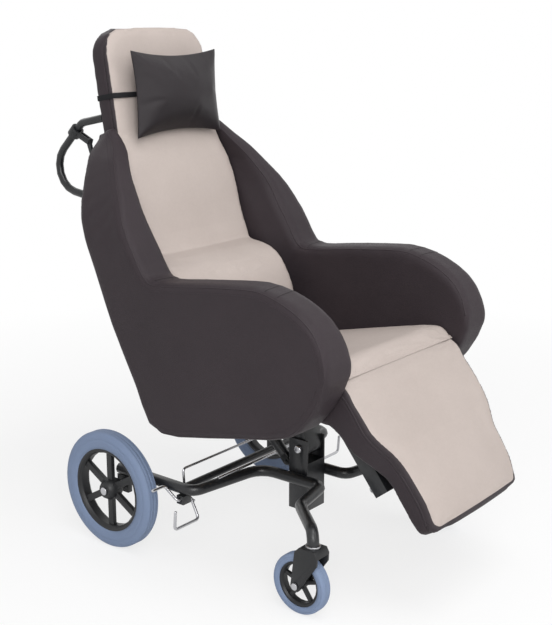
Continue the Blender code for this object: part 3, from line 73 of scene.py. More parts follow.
def sums(tree, operation, first, second=0.0, third=0.0):
    return add(tree, "Math", {0: first, 1: second, 2: third}, operation=operation).outputs[0]


def mixed(tree, share, first, second):
    return add(tree, "Mix", {0: share, 6: first, 7: second}, data_type="RGBA").outputs[2]


def ranged(tree, value, low, high, fromLow=0.0, fromHigh=1.0):
    limits = {"Value": value, "From Min": fromLow, "From Max": fromHigh, "To Min": low, "To Max": high}
    return add(tree, "MapRange", limits, clamp=True).outputs["Result"]


def newGroup(name, inputs, outputs):
    tree = bpy.data.node_groups.new(name, "ShaderNodeTree")
    for label, kind, value in inputs:
        socket = tree.interface.new_socket(name=label, in_out="INPUT", socket_type="NodeSocket" + kind)
        socket.default_value = value
    for label, kind in outputs:
        tree.interface.new_socket(name=label, in_out="OUTPUT", socket_type="NodeSocket" + kind)
    return tree, tree.nodes.new("NodeGroupInput").outputs, tree.nodes.new("NodeGroupOutput").inputs


def placed(tree, group, **values):
    node = tree.nodes.new("ShaderNodeGroup")
    node.node_tree = group
    for label, value in values.items():
        node.inputs[label].default_value = value
    return node.outputs


# Pebbled grain of a coated cover, with slow shade changes and soft folds over the panel
grainLook = {
    "scatter": 0.9, "poreScale": 0.35, "poreHeight": 0.6, "cloudRoughness": 0.55, "foldScale": 20.0,
    "foldTwist": 0.8,
}


def makeCoverGrain(look):
    tree, given, out = newGroup(
        "coverGrain",
        [("Pebbles", "Float", 700.0), ("Cloud", "Float", 7.0)],
        [("Height", "Float"), ("Shade", "Float"), ("Crease", "Float")],
    )
    at = add(tree, "TexCoord").outputs["Object"]
    pebbles = {"Vector": at, "Scale": given["Pebbles"], "Randomness": look["scatter"]}
    pebble = add(tree, "TexVoronoi", pebbles).outputs["Distance"]
    fine = sums(tree, "MULTIPLY", given["Pebbles"], look["poreScale"])
    pores = add(tree, "TexNoise", {"Vector": at, "Scale": fine, "Detail": 3.0}).outputs["Fac"]
    tree.links.new(sums(tree, "MULTIPLY_ADD", pores, look["poreHeight"], pebble), out["Height"])
    clouds = {"Vector": at, "Scale": given["Cloud"], "Detail": 4.0, "Roughness": look["cloudRoughness"]}
    tree.links.new(add(tree, "TexNoise", clouds).outputs["Fac"], out["Shade"])
    folds = {"Vector": at, "Scale": look["foldScale"], "Detail": 2.0, "Distortion": look["foldTwist"]}
    tree.links.new(add(tree, "TexNoise", folds).outputs["Fac"], out["Crease"])
    return tree


# Plain weave of fine threads, across X and along a given direction
weaveLook = {
    "threadHeight": 0.5, "slubScale": 150.0, "slubShare": 0.35, "cloudScale": 5.0, "cloudRoughness": 0.6,
}


def makeThreadWeave(look):
    tree, given, out = newGroup(
        "threadWeave",
        [("Threads", "Float", 620.0), ("Along", "Vector", (0.0, 0.7, 0.7))],
        [("Height", "Float"), ("Shade", "Float")],
    )
    at = add(tree, "TexCoord").outputs["Object"]
    across = add(tree, "SeparateXYZ", {0: at}).outputs[0]
    along = add(tree, "VectorMath", {0: at, 1: given["Along"]}, operation="DOT_PRODUCT").outputs["Value"]
    turn = sums(tree, "MULTIPLY", given["Threads"], 2 * math.pi)
    weft = sums(tree, "SINE", sums(tree, "MULTIPLY", across, turn))
    warp = sums(tree, "SINE", sums(tree, "MULTIPLY", along, turn))
    slub = add(tree, "TexNoise", {"Vector": at, "Scale": look["slubScale"], "Detail": 3.0}).outputs["Fac"]
    crossing = sums(tree, "MULTIPLY", weft, warp)
    tree.links.new(sums(tree, "MULTIPLY_ADD", crossing, look["threadHeight"], slub), out["Height"])
    clouds = {"Vector": at, "Scale": look["cloudScale"], "Detail": 4.0, "Roughness": look["cloudRoughness"]}
    cloud = add(tree, "TexNoise", clouds).outputs["Fac"]
    tree.links.new(sums(tree, "MULTIPLY_ADD", slub, look["slubShare"], cloud), out["Shade"])
    return tree


# Rubbed outer edges and dusty inner corners
rubLook = {"edgeStart": 0.56, "edgeFull": 0.62, "hollow": (0.50, 0.42), "filmScale": 11.0, "filmShare": 0.5}


def makeEdgeRub(look):
    tree, given, out = newGroup(
        "edgeRub",
        [("Reach", "Float", 0.06), ("Specks", "Float", 90.0)],
        [("Rubbed", "Float"), ("Dust", "Float")],
    )
    at = add(tree, "TexCoord").outputs["Object"]
    bulge = add(tree, "NewGeometry").outputs["Pointiness"]
    grit = {"Vector": at, "Scale": given["Specks"], "Detail": 5.0, "Roughness": 0.65}
    speck = add(tree, "TexNoise", grit).outputs["Fac"]
    low = sums(tree, "SUBTRACT", look["edgeStart"], sums(tree, "MULTIPLY", speck, given["Reach"]))
    edge = ranged(tree, bulge, 0.0, 1.0, low, look["edgeFull"])
    tree.links.new(sums(tree, "MULTIPLY", edge, speck), out["Rubbed"])
    hollow = ranged(tree, bulge, 0.0, 1.0, *look["hollow"])
    film = add(tree, "TexNoise", {"Vector": at, "Scale": look["filmScale"], "Detail": 5.0}).outputs["Fac"]
    thin = sums(tree, "MULTIPLY", film, look["filmShare"])
    tree.links.new(sums(tree, "MULTIPLY_ADD", hollow, 1 - look["filmShare"], thin), out["Dust"])
    return tree


coverGrain = makeCoverGrain(grainLook)
threadWeave = makeThreadWeave(weaveLook)
edgeRub = makeEdgeRub(rubLook)


def newFinish(name, roughness, **constants):
    made = bpy.data.materials.new(name)
    made.use_nodes = True
    shader = made.node_tree.nodes["Principled BSDF"]
    shader.inputs["Roughness"].default_value = roughness
    for label, value in constants.items():
        shader.inputs[label.replace("_", " ")].default_value = value
    return made, made.node_tree, shader


def bumped(tree, shader, height, distance):
    bump = add(tree, "Bump", {"Height": height, "Distance": distance})
    tree.links.new(bump.outputs["Normal"], shader.inputs["Normal"])


# Coated brown cover of the shell and the pillow
def makeVinyl(name, look):
    made, tree, shader = newFinish(name, look["roughness"], Specular_IOR_Level=look["gloss"])
    grain = placed(tree, coverGrain, Pebbles=look["pebbles"], Cloud=look["cloud"])
    rub = placed(tree, edgeRub, Reach=look["reach"], Specks=look["specks"])
    cloudy = mixed(tree, grain["Shade"], look["dark"], look["light"])
    worn = sums(tree, "MULTIPLY", rub["Rubbed"], look["rub"])
    tree.links.new(mixed(tree, worn, cloudy, look["worn"]), shader.inputs["Base Color"])
    smooth = look["roughness"] - look["spread"]
    rough = ranged(tree, grain["Shade"], smooth, look["roughness"] + look["spread"])
    tree.links.new(rough, shader.inputs["Roughness"])
    height = sums(tree, "MULTIPLY_ADD", grain["Crease"], look["folds"], grain["Height"])
    bumped(tree, shader, height, look["depth"])
    return made


vinylLook = {
    "dark": (0.0280, 0.0218, 0.0252, 1), "light": (0.0420, 0.0330, 0.0375, 1),
    "worn": (0.068, 0.056, 0.061, 1), "roughness": 0.50, "spread": 0.07, "gloss": 0.14, "pebbles": 720.0,
    "cloud": 6.0, "rub": 0.5, "reach": 0.05, "specks": 60.0, "folds": 2.0, "depth": 0.00035,
}
pillowTint = {
    "dark": (0.0145, 0.0116, 0.0132, 1), "light": (0.0250, 0.0206, 0.0233, 1),
    "roughness": 0.42, "gloss": 0.20,
}
# Near-black colour of the armrest's cross-seam cords: painted shade that stands in for the shadow in the seam
# groove
seamShadeTint = {
    "dark": (0.006, 0.005, 0.0055, 1), "light": (0.010, 0.0085, 0.009, 1), "roughness": 0.7, "gloss": 0.2,
}
brownVinyl = makeVinyl("brownVinyl", vinylLook)
pillowVinyl = makeVinyl("pillowVinyl", dict(vinylLook, **pillowTint))
seamThread = makeVinyl("seamThread", dict(vinylLook, **seamShadeTint))


# Beige cover, brown where the attribute says that the cover of the sides begins
def makeBeige(name, look, along):
    made, tree, shader = newFinish(name, look["roughness"], Specular_IOR_Level=look["gloss"])
    weave = placed(tree, threadWeave, Threads=look["threads"], Along=along)
    grain = placed(tree, coverGrain, Pebbles=vinylLook["pebbles"], Cloud=vinylLook["cloud"])
    beige = mixed(tree, weave["Shade"], look["shaded"], look["plain"])
    brown = mixed(tree, grain["Shade"], vinylLook["dark"], vinylLook["light"])
    side = add(tree, "Attribute", attribute_name="sideways").outputs["Fac"]
    flank = ranged(tree, side, 0.0, 1.0, look["edge"] - look["edgeSoft"], look["edge"] + look["edgeSoft"])
    apart = sums(tree, "ABSOLUTE", sums(tree, "SUBTRACT", side, look["edge"]))
    seam = ranged(tree, apart, look["seamShare"], 0.0, 0.0, look["seamReach"])
    covered = mixed(tree, flank, beige, brown)
    tree.links.new(mixed(tree, seam, covered, look["stitch"]), shader.inputs["Base Color"])
    smoother = sums(tree, "MULTIPLY", flank, look["flankSmooth"])
    tree.links.new(sums(tree, "SUBTRACT", look["roughness"], smoother), shader.inputs["Roughness"])
    folded = sums(tree, "MULTIPLY_ADD", grain["Crease"], look["folds"], weave["Height"])
    sunk = sums(tree, "MULTIPLY", seam, look["seamDeep"])
    bumped(tree, shader, sums(tree, "SUBTRACT", folded, sunk), look["depth"])
    return made


beigeLook = {
    "shaded": (0.41, 0.35, 0.322, 1), "plain": (0.505, 0.44, 0.407, 1), "stitch": (0.12, 0.10, 0.092, 1),
    "roughness": 0.74, "gloss": 0.22, "threads": 620.0, "folds": 1.6, "depth": 0.0003, "edge": 0.62,
    "edgeSoft": 0.03, "seamShare": 0.28, "seamReach": 0.10, "seamDeep": 4.0, "flankSmooth": 0.22,
}
beigeCover = makeBeige("beigeCover", beigeLook, (0.0, -0.7, 0.7))
beigeLegCover = makeBeige("beigeLegCover", beigeLook, (0.0, 0.7, 0.7))


# Moulded, painted and plated hard pieces
hardSpread = {"cleaner": 0.08, "dustier": 0.14}


def makeHard(name, look):
    fixed = {"Metallic": look["metallic"], "Specular_IOR_Level": look["gloss"]}
    made, tree, shader = newFinish(name, look["roughness"], **fixed)
    rub = placed(tree, edgeRub, Reach=look["reach"], Specks=look["specks"])
    tone = mixed(tree, sums(tree, "MULTIPLY", rub["Dust"], look["dustShare"]), look["color"], look["dust"])
    worn = sums(tree, "MULTIPLY", rub["Rubbed"], look["rub"])
    tree.links.new(mixed(tree, worn, tone, look["bare"]), shader.inputs["Base Color"])
    at = add(tree, "TexCoord").outputs["Object"]
    skin = add(tree, "TexNoise", {"Vector": at, "Scale": look["skin"], "Detail": 3.0}).outputs["Fac"]
    smooth = look["roughness"] - hardSpread["cleaner"]
    rough = ranged(tree, rub["Dust"], smooth, look["roughness"] + hardSpread["dustier"])
    tree.links.new(rough, shader.inputs["Roughness"])
    bumped(tree, shader, skin, look["depth"])
    return made


hardLooks = {
    "blackPaint": {
        "color": (0.0075, 0.0082, 0.0098, 1), "dust": (0.026, 0.026, 0.027, 1),
        "bare": (0.07, 0.07, 0.075, 1), "dustShare": 0.3, "rub": 0.6, "reach": 0.06, "specks": 120.0,
        "skin": 420.0, "depth": 0.0002, "roughness": 0.36, "metallic": 0.0, "gloss": 0.45,
    },
    "blackMoulding": {
        "color": (0.009, 0.0096, 0.011, 1), "dust": (0.032, 0.032, 0.033, 1),
        "bare": (0.055, 0.055, 0.057, 1), "dustShare": 0.35, "rub": 0.5, "reach": 0.05, "specks": 150.0,
        "skin": 900.0, "depth": 0.0002, "roughness": 0.46, "metallic": 0.0, "gloss": 0.4,
    },
    "platedSteel": {
        "color": (0.52, 0.52, 0.54, 1), "dust": (0.30, 0.30, 0.31, 1),
        "bare": (0.70, 0.70, 0.71, 1), "dustShare": 0.5, "rub": 0.5, "reach": 0.06, "specks": 200.0,
        "skin": 350.0, "depth": 0.0001, "roughness": 0.30, "metallic": 1.0, "gloss": 0.5,
    },
}
blackPaint = makeHard("blackPaint", hardLooks["blackPaint"])
blackMoulding = makeHard("blackMoulding", hardLooks["blackMoulding"])
platedSteel = makeHard("platedSteel", hardLooks["platedSteel"])


# Grey-blue tyre rubber with a dusty bloom
def makeRubber(look):
    made, tree, shader = newFinish("tyreRubber", look["roughness"], Specular_IOR_Level=look["gloss"])
    rub = placed(tree, edgeRub, Reach=look["reach"], Specks=look["specks"])
    tone = mixed(tree, rub["Dust"], look["clean"], look["dusty"])
    worn = sums(tree, "MULTIPLY", rub["Rubbed"], look["rub"])
    tree.links.new(mixed(tree, worn, tone, look["scuffed"]), shader.inputs["Base Color"])
    at = add(tree, "TexCoord").outputs["Object"]
    skin = add(tree, "TexNoise", {"Vector": at, "Scale": look["skin"], "Detail": 4.0}).outputs["Fac"]
    tree.links.new(ranged(tree, skin, *look["roughRange"]), shader.inputs["Roughness"])
    bumped(tree, shader, skin, look["depth"])
    return made


rubberLook = {
    "clean": (0.175, 0.230, 0.350, 1), "dusty": (0.213, 0.269, 0.388, 1),
    "scuffed": (0.265, 0.323, 0.432, 1), "roughness": 0.62, "roughRange": (0.56, 0.72), "gloss": 0.3,
    "reach": 0.05, "specks": 70.0, "rub": 0.4, "skin": 500.0, "depth": 0.0003,
}
tyreRubber = makeRubber(rubberLook)


# Ribbed elastic webbing
def makeWebbing(look):
    made, tree, shader = newFinish("strapWebbing", look["roughness"], Specular_IOR_Level=look["gloss"])
    weave = placed(tree, threadWeave, Threads=look["threads"], Along=(0.0, 0.0, 1.0))
    tree.links.new(mixed(tree, weave["Shade"], look["dark"], look["light"]), shader.inputs["Base Color"])
    bumped(tree, shader, weave["Height"], look["depth"])
    return made


webbingLook = {
    "dark": (0.006, 0.006, 0.007, 1), "light": (0.018, 0.018, 0.020, 1), "threads": 420.0,
    "roughness": 0.85, "gloss": 0.2, "depth": 0.0004,
}
strapWebbing = makeWebbing(webbingLook)


# Birch board under the seat
def makeBoard(look):
    made, tree, shader = newFinish("seatBoard", look["roughness"], Specular_IOR_Level=look["gloss"])
    at = add(tree, "TexCoord").outputs["Object"]
    stretched = add(tree, "VectorMath", {0: at, 1: look["stretch"]}, operation="MULTIPLY").outputs[0]
    rings = {"Vector": stretched, "Scale": look["rings"], "Detail": 6.0, "Distortion": look["wavy"]}
    ringed = add(tree, "TexNoise", rings).outputs["Fac"]
    tree.links.new(mixed(tree, ringed, look["dark"], look["light"]), shader.inputs["Base Color"])
    tree.links.new(ranged(tree, ringed, *look["roughRange"]), shader.inputs["Roughness"])
    bumped(tree, shader, ringed, look["depth"])
    return made


boardLook = {
    "dark": (0.30, 0.19, 0.10, 1), "light": (0.52, 0.38, 0.24, 1), "stretch": (1.0, 0.12, 1.0),
    "roughness": 0.65, "roughRange": (0.55, 0.75), "gloss": 0.3, "rings": 16.0, "wavy": 1.2,
    "depth": 0.0003,
}
seatBoard = makeBoard(boardLook)

finishOf = {
    "brown_vinyl": brownVinyl, "beige_fabric": beigeCover, "pillow_vinyl": pillowVinyl,
    "black_elastic": strapWebbing, "grey_tyre": tyreRubber, "black_plastic": blackMoulding,
    "black_paint": blackPaint, "steel": platedSteel, "plywood": seatBoard,
}
for part in frame["record"]["subparts"]:
    kept = nodes[part["node"]].data.materials
    kept.clear()
    kept.append(finishOf[part["material_slot"]])
print("finishes made:", len(finishOf))


# Mesh helpers

def newPiece(name, mesh, finish):
    mesh.materials.clear()
    mesh.materials.append(finish)
    mesh.shade_smooth()
    made = bpy.data.objects.new(name, mesh)
    scene.collection.objects.link(made)
    return made


def meshFrom(name, built):
    mesh = bpy.data.meshes.new(name)
    bmesh.ops.recalc_face_normals(built, faces=built.faces)
    built.to_mesh(mesh)
    built.free()
    return mesh


def copied(*cadNodes):
    joined = bmesh.new()
    for cadNode in cadNodes:
        joined.from_mesh(nodes[cadNode].data)
    bmesh.ops.remove_doubles(joined, verts=joined.verts, dist=1e-5)
    return joined


def baked(piece):
    graph = bpy.context.evaluated_depsgraph_get()
    mesh = bpy.data.meshes.new_from_object(piece.evaluated_get(graph))
    piece.modifiers.clear()
    piece.data = mesh
    mesh.shade_smooth()
    return piece


def remeshed(piece, voxel):
    modifier = piece.modifiers.new("voxels", "REMESH")
    modifier.mode = "VOXEL"
    modifier.voxel_size = voxel
    return baked(piece)


def points(mesh):
    flat = np.empty(len(mesh.vertices) * 3)
    mesh.vertices.foreach_get("co", flat)
    return flat.reshape(-1, 3)


def normals(mesh):
    flat = np.empty(len(mesh.vertices) * 3, np.float32)
    mesh.vertex_normals.foreach_get("vector", flat)
    return flat.reshape(-1, 3).astype(float)


def setPoints(mesh, spots):
    mesh.vertices.foreach_set("co", spots.astype(np.float32).ravel())
    mesh.update()


def risen(values, low, high):
    share = np.clip((values - low) / (high - low), 0, 1)
    return share * share * (3 - 2 * share)


# Evens out facets: a smoothing step, then a step back that keeps the volume
def eased(piece, rounds, weight=1.0, back=0.52, push=0.5):
    mesh = piece.data
    ends = np.empty(len(mesh.edges) * 2, np.int32)
    mesh.edges.foreach_get("vertices", ends)
    first, second = ends.reshape(-1, 2).T
    count = np.bincount(ends, minlength=len(mesh.vertices))[:, None]
    spots = points(mesh)
    for step in range(2 * rounds):
        middle = np.zeros_like(spots)
        for axis in range(3):
            middle[:, axis] += np.bincount(first, spots[second, axis], len(spots))
            middle[:, axis] += np.bincount(second, spots[first, axis], len(spots))
        spots = spots + (middle / count - spots) * weight * (push if step % 2 == 0 else -back)
    setPoints(mesh, spots)
    return piece


# Swells a pad by air pressure, held where it rests, and caps how far a point moves
clothLook = {"restsFrom": 0.25, "quality": 3, "stretch": 12, "pressureFactor": 12, "airDamping": 4}


def puffed(piece, look):
    mesh = piece.data
    before = points(mesh)
    resting = np.where(normals(mesh) @ np.array(look["rests"]) > clothLook["restsFrom"])[0]
    group = piece.vertex_groups.new(name="held")
    group.add([int(i) for i in resting], 1, "REPLACE")
    cloth = piece.modifiers.new("puff", "CLOTH")
    cloth.settings.vertex_group_mass = "held"
    cloth.settings.quality = clothLook["quality"]
    cloth.settings.use_pressure = True
    cloth.settings.uniform_pressure_force = look["pressure"]
    if "volume" in look:
        cloth.settings.use_pressure_volume = True
        cloth.settings.target_volume = look["volume"]
        cloth.settings.pressure_factor = clothLook["pressureFactor"]
        cloth.settings.air_damping = clothLook["airDamping"]
    cloth.settings.shrink_min = -look["spare"]
    cloth.settings.tension_stiffness = clothLook["stretch"]
    cloth.settings.compression_stiffness = clothLook["stretch"]
    cloth.settings.bending_stiffness = look["stiff"]
    cloth.settings.effector_weights.gravity = 0
    cloth.point_cache.frame_end = look["frames"]
    for step in range(1, look["frames"] + 1):
        scene.frame_set(step)
    graph = bpy.context.evaluated_depsgraph_get()
    move = points(piece.evaluated_get(graph).data) - before
    piece.modifiers.clear()
    piece.vertex_groups.clear()
    scene.frame_set(1)
    length = np.linalg.norm(move, axis=1, keepdims=True)
    move *= np.minimum(1, look["cap"] / np.maximum(length, 1e-9))
    setPoints(mesh, before + move)
    return piece


# Slow hand-made unevenness of a foam surface
def uneven(piece, height, size):
    mesh = piece.data
    spots = points(mesh)
    lift = np.array([noise.noise(Vector(spot) / size) for spot in spots])
    setPoints(mesh, spots + normals(mesh) * (lift * height)[:, None])
    return piece


def mark(piece, values):
    made = piece.data.attributes.new("sideways", "FLOAT", "POINT")
    made.data.foreach_set("value", values.astype(np.float32))


def settled(piece, body, *cadNodes):
    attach(piece, body)
    if cadNodes:
        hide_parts(*cadNodes)
    return piece


# Evenly spaced points on a smooth curve through the knots
def curvedThrough(knots, count):
    knots = np.array(knots, float)
    before = np.vstack([knots[:1], knots[:-1]])
    after = np.vstack([knots[1:], knots[-1:]])
    lead = knots + (after - before) / 6
    trail = knots - (after - before) / 6
    fine = [knots[:1]]
    t = np.linspace(0, 1, 13)[1:, None]
    for i in range(len(knots) - 1):
        start = (1 - t) ** 3 * knots[i] + 3 * (1 - t) ** 2 * t * lead[i]
        fine.append(start + 3 * (1 - t) * t**2 * trail[i + 1] + t**3 * knots[i + 1])
    fine = np.vstack(fine)
    run = np.concatenate([[0], np.cumsum(np.linalg.norm(np.diff(fine, axis=0), axis=1))])
    want = np.linspace(0, run[-1], count)
    return np.stack([np.interp(want, run, fine[:, axis]) for axis in range(knots.shape[1])], axis=1)


# A round cord of mesh along a path of points
def piped(built, path, radius, steps=8):
    rings = []
    for i, spot in enumerate(path):
        run = (Vector(path[min(i + 1, len(path) - 1)]) - Vector(path[max(i - 1, 0)])).normalized()
        aside = run.cross(Vector((1, 0, 0)) if abs(run.x) < 0.8 else Vector((0, 0, 1))).normalized()
        over = run.cross(aside)
        ring = []
        for step in range(steps):
            turn = 2 * math.pi * step / steps
            away = aside * math.cos(turn) + over * math.sin(turn)
            ring.append(built.verts.new(Vector(spot) + away * radius))
        rings.append(ring)
    for one, two in zip(rings, rings[1:]):
        for step in range(steps):
            other = (step + 1) % steps
            built.faces.new((one[step], one[other], two[other], two[step]))
    built.faces.new(list(reversed(rings[0])))
    built.faces.new(rings[-1])


# Upholstered shell: firm foam under the brown cover
firmLook = {
    "voxel": 0.006, "rounds": 14, "uneven": 0.0011, "size": 0.085, "fill": 0.9,
    "bend": (0.060, 0.700), "bendReach": 0.16, "bendCore": 0.4, "bendRounds": 60, "bendBack": 0.3,
}


def makeFirm(name, cadNode, body):
    piece = newPiece(name, meshFrom(name, copied(cadNode)), brownVinyl)
    remeshed(piece, firmLook["voxel"])
    eased(piece, firmLook["rounds"])
    return settled(piece, body, cadNode)


# The wing's tip is thinner, with a full front shoulder and a low rear corner
wingLook = {
    "low": 0.955, "top": 1.040, "rearStart": 0.100, "rearEnd": 0.141, "drop": 0.026, "tip": (0.098, 1.027),
    "slope": 0.868, "band": (0.010, 0.080), "shoulder": (0.80, 0.98), "forward": 0.019, "root": 0.183,
    "thin": 0.35,
}


def wingShift(y, z, look):
    rear = risen(y - rearAxle, look["rearStart"], look["rearEnd"])
    edge = look["tip"][0] + rearAxle - look["slope"] * (look["tip"][1] - z)
    shoulder = risen(z, *look["shoulder"]) * (1 - risen(y - edge, *look["band"]))
    return y - look["forward"] * shoulder, z - look["drop"] * rear * risen(z, look["low"], look["top"])


def makeSidePanel(side):
    piece = makeFirm("sidePanel" + side, "side_panel_" + side.lower(), "shell")
    spots = points(piece.data)
    outward = np.maximum(np.abs(spots[:, 0]) - wingLook["root"], 0)
    thinner = wingLook["thin"] * risen(spots[:, 2], wingLook["low"], wingLook["top"])
    spots[:, 0] -= sides[side] * outward * thinner
    spots[:, 1], spots[:, 2] = wingShift(spots[:, 1], spots[:, 2], wingLook)
    setPoints(piece.data, spots)
    bendY, bendZ = firmLook["bend"]
    far = np.hypot(spots[:, 1] - bendY - rearAxle, spots[:, 2] - bendZ)
    near = 1 - risen(far, firmLook["bendReach"] * firmLook["bendCore"], firmLook["bendReach"])
    eased(piece, firmLook["bendRounds"], near[:, None], firmLook["bendBack"])
    return uneven(piece, firmLook["uneven"], firmLook["size"])


sidePanels = {side: makeSidePanel(side) for side in sides}
backBody = makeFirm("backBody", "back_shell", "shell")

# The back's flanks press against the wings
flankLook = {"inner": 0.15, "reach": 0.0045, "fade": 0.008, "press": 0.0005}


def pressedOn(piece, look):
    spots = points(piece.data)
    graph = bpy.context.evaluated_depsgraph_get()
    for side, sign in sides.items():
        surface = BVHTree.FromObject(sidePanels[side], graph)
        for i in np.where(spots[:, 0] * sign > look["inner"])[0]:
            hit, slope, index, far = surface.ray_cast(Vector(spots[i]), Vector((sign, 0, 0)))
            if hit is not None:
                share = 1 - risen(far, look["reach"], look["reach"] + look["fade"])
                spots[i, 0] += sign * (far + look["press"]) * share
    setPoints(piece.data, spots)


pressedOn(backBody, flankLook)
legrestBody = makeFirm("legrestBody", "legrest_shell", "legrest")
print("firm foam done")

# Seams of the side panels: corded edges, cross seams on the armrest whose near-black cord colour is painted shade
# of the seam groove, and a row of stitches
seamLook = {
    "cord": 0.0019, "sunk": 0.0007, "corner": 0.012, "lean": 0.55, "crossCord": 0.0013,
    "stitch": 0.0005, "stitchLong": 0.0042, "stitchStep": 0.0066, "stitchSides": 5, "inset": 0.0195,
    "outside": 0.6, "castFrom": 0.1, "castReach": 0.03, "frontPoints": 130, "wholePoints": 210,
    "armOuter": 0.334, "armWide": 0.088, "armAbove": 0.80, "armReach": 0.14, "armPoints": 15,
    "crossings": [(-0.503, -0.4965), (-0.5375, -0.531), (-0.176, -0.184)],
    "front": [
        (0.098, 1.027), (0.056, 0.990), (0.002, 0.930), (-0.055, 0.868), (-0.112, 0.785),
        (-0.160, 0.712), (-0.205, 0.706), (-0.252, 0.711), (-0.350, 0.723), (-0.470, 0.733),
        (-0.530, 0.724), (-0.590, 0.701), (-0.634, 0.671), (-0.661, 0.634), (-0.675, 0.592),
    ],
    "under": [
        (-0.674, 0.556), (-0.660, 0.517), (-0.632, 0.470), (-0.588, 0.424), (-0.530, 0.400),
        (-0.432, 0.380), (-0.323, 0.357), (-0.214, 0.338), (-0.170, 0.340),
    ],
}


def awayFrom(outline, i):
    before, after = outline[max(i - 1, 0)], outline[min(i + 1, len(outline) - 1)]
    run = Vector((0, after[0] - before[0], after[1] - before[1])).normalized()
    return Vector((0, run.z, -run.y))


# Points on a panel's face, a given way in from its edge, found from outside it or from the sitter's side
def facePath(surface, outline, sign, inset, fromOutside):
    path = []
    for i, (y, z) in enumerate(outline):
        x = sign * seamLook["outside"] if fromOutside else 0
        start = Vector((x, y, z)) - awayFrom(outline, i) * inset
        path.append(surface.ray_cast(start, Vector((-sign if fromOutside else sign, 0, 0)))[0])
    return path


# Points on a panel's rounded corner, nearer to its flat face than to its edge
def cornerPath(surface, outline, sign, fromOutside):
    path = []
    sideways = Vector((sign if fromOutside else -sign, 0, 0))
    flats = facePath(surface, outline, sign, seamLook["corner"], fromOutside)
    for i, flat in enumerate(flats):
        if flat is None:
            continue
        core = flat - sideways * seamLook["corner"]
        cast = (awayFrom(outline, i) * seamLook["lean"] + sideways).normalized()
        hit, slope = surface.ray_cast(core + cast * seamLook["castFrom"], -cast)[:2]
        if hit is not None and (hit - core).length < seamLook["castReach"]:
            path.append(hit - slope * seamLook["sunk"])
    return path


def crossPath(surface, sign, outer, inner):
    path = []
    for share in np.linspace(0, 1, seamLook["armPoints"]):
        x = sign * (seamLook["armOuter"] - seamLook["armWide"] * share)
        spot = Vector((x, rearAxle + outer + (inner - outer) * share, seamLook["armAbove"]))
        hit, slope, index, far = surface.ray_cast(spot, Vector((0, 0, -1)))
        if hit is not None and far < seamLook["armReach"]:
            path.append(hit - slope * seamLook["sunk"])
    return path


def makeSeams(side):
    sign = sides[side]
    surface = BVHTree.FromObject(sidePanels[side], bpy.context.evaluated_depsgraph_get())
    shift = np.array([rearAxle, 0])
    front = curvedThrough(seamLook["front"], seamLook["frontPoints"]) + shift
    whole = curvedThrough(seamLook["front"] + seamLook["under"], seamLook["wholePoints"]) + shift
    for outline in (front, whole):
        outline[:, 0], outline[:, 1] = wingShift(outline[:, 0], outline[:, 1], wingLook)
    built = bmesh.new()
    piped(built, cornerPath(surface, whole, sign, True), seamLook["cord"])
    piped(built, cornerPath(surface, front, sign, False), seamLook["cord"])
    rowLength = np.linalg.norm(np.diff(whole, axis=0), axis=1).sum()
    count = int(rowLength / seamLook["stitchStep"])
    row = curvedThrough(whole, count)
    spots = facePath(surface, row, sign, seamLook["inset"], True)
    for here, ahead in zip(spots, spots[1:]):
        if here is not None and ahead is not None and (ahead - here).length < 2 * seamLook["stitchStep"]:
            along = (ahead - here).normalized() * seamLook["stitchLong"]
            piped(built, [here, here + along], seamLook["stitch"], seamLook["stitchSides"])
    cords = newPiece("panelSeams" + side, meshFrom("panelSeams", built), brownVinyl)
    settled(cords, "shell")
    built = bmesh.new()
    for outer, inner in seamLook["crossings"]:
        piped(built, crossPath(surface, sign, outer, inner), seamLook["crossCord"])
    # The cross-seam cords are real seams, but their dark colour is painted shade of the groove
    threads = newPiece("armSeams" + side, meshFrom("armSeams", built), seamThread)
    settled(threads, "shell")


for side in sides:
    makeSeams(side)
print("panel seams done")

# Beige pads
padLooks = {
    "backPad": {
        "voxel": 0.0045, "rounds": 8, "rests": (0, 1, -0.2), "pressure": 2.0, "spare": 0.0, "stiff": 0.4,
        "cap": 0.003, "frames": 12, "fill": 0.8,
    },
    "seatPad": {
        "voxel": 0.006, "rounds": 6, "rests": (0, -0.2, -1), "pressure": 3.0, "spare": 0.0, "stiff": 0.4,
        "cap": 0.005, "frames": 12, "fill": 0.75,
    },
    "legrestPad": {
        "voxel": 0.0045, "rounds": 5, "rests": (0, 0.8, -0.6), "pressure": 2.0, "spare": 0.0, "stiff": 0.4,
        "cap": 0.003, "frames": 12, "fill": 0.8,
    },
}


def startPad(name, finish, built):
    look = padLooks[name]
    piece = newPiece(name, meshFrom(name, built), finish)
    remeshed(piece, look["voxel"])
    puffed(piece, look)
    eased(piece, look["rounds"])
    return piece


# The back's cover runs on over the lumbar roll, with a soft hollow where they meet
creaseLook = {
    "y": -0.0195, "z": 0.7185, "radius": 0.0085, "sides": 12, "half": 0.198, "soft": 0.040, "core": 0.4,
    "rounds": 22, "back": 0.3, "brownFrom": (0.93, 0.97),
}


def makeBackPad(look):
    built = copied("back_cushion", "lumbar_cushion")
    y = look["y"] + rearAxle
    crease = [(look["half"] * share, y, look["z"]) for share in (-1, 0, 1)]
    piped(built, crease, look["radius"], look["sides"])
    piece = startPad("backPad", beigeCover, built)
    spots = points(piece.data)
    far = np.hypot(spots[:, 1] - y, spots[:, 2] - look["z"])
    near = 1 - risen(far, look["soft"] * look["core"], look["soft"])
    eased(piece, look["rounds"], near[:, None], look["back"])
    high = risen(points(piece.data)[:, 2], *look["brownFrom"])
    mark(piece, np.abs(normals(piece.data)[:, 0]) * high)
    return settled(piece, "shell", "back_cushion", "lumbar_cushion")


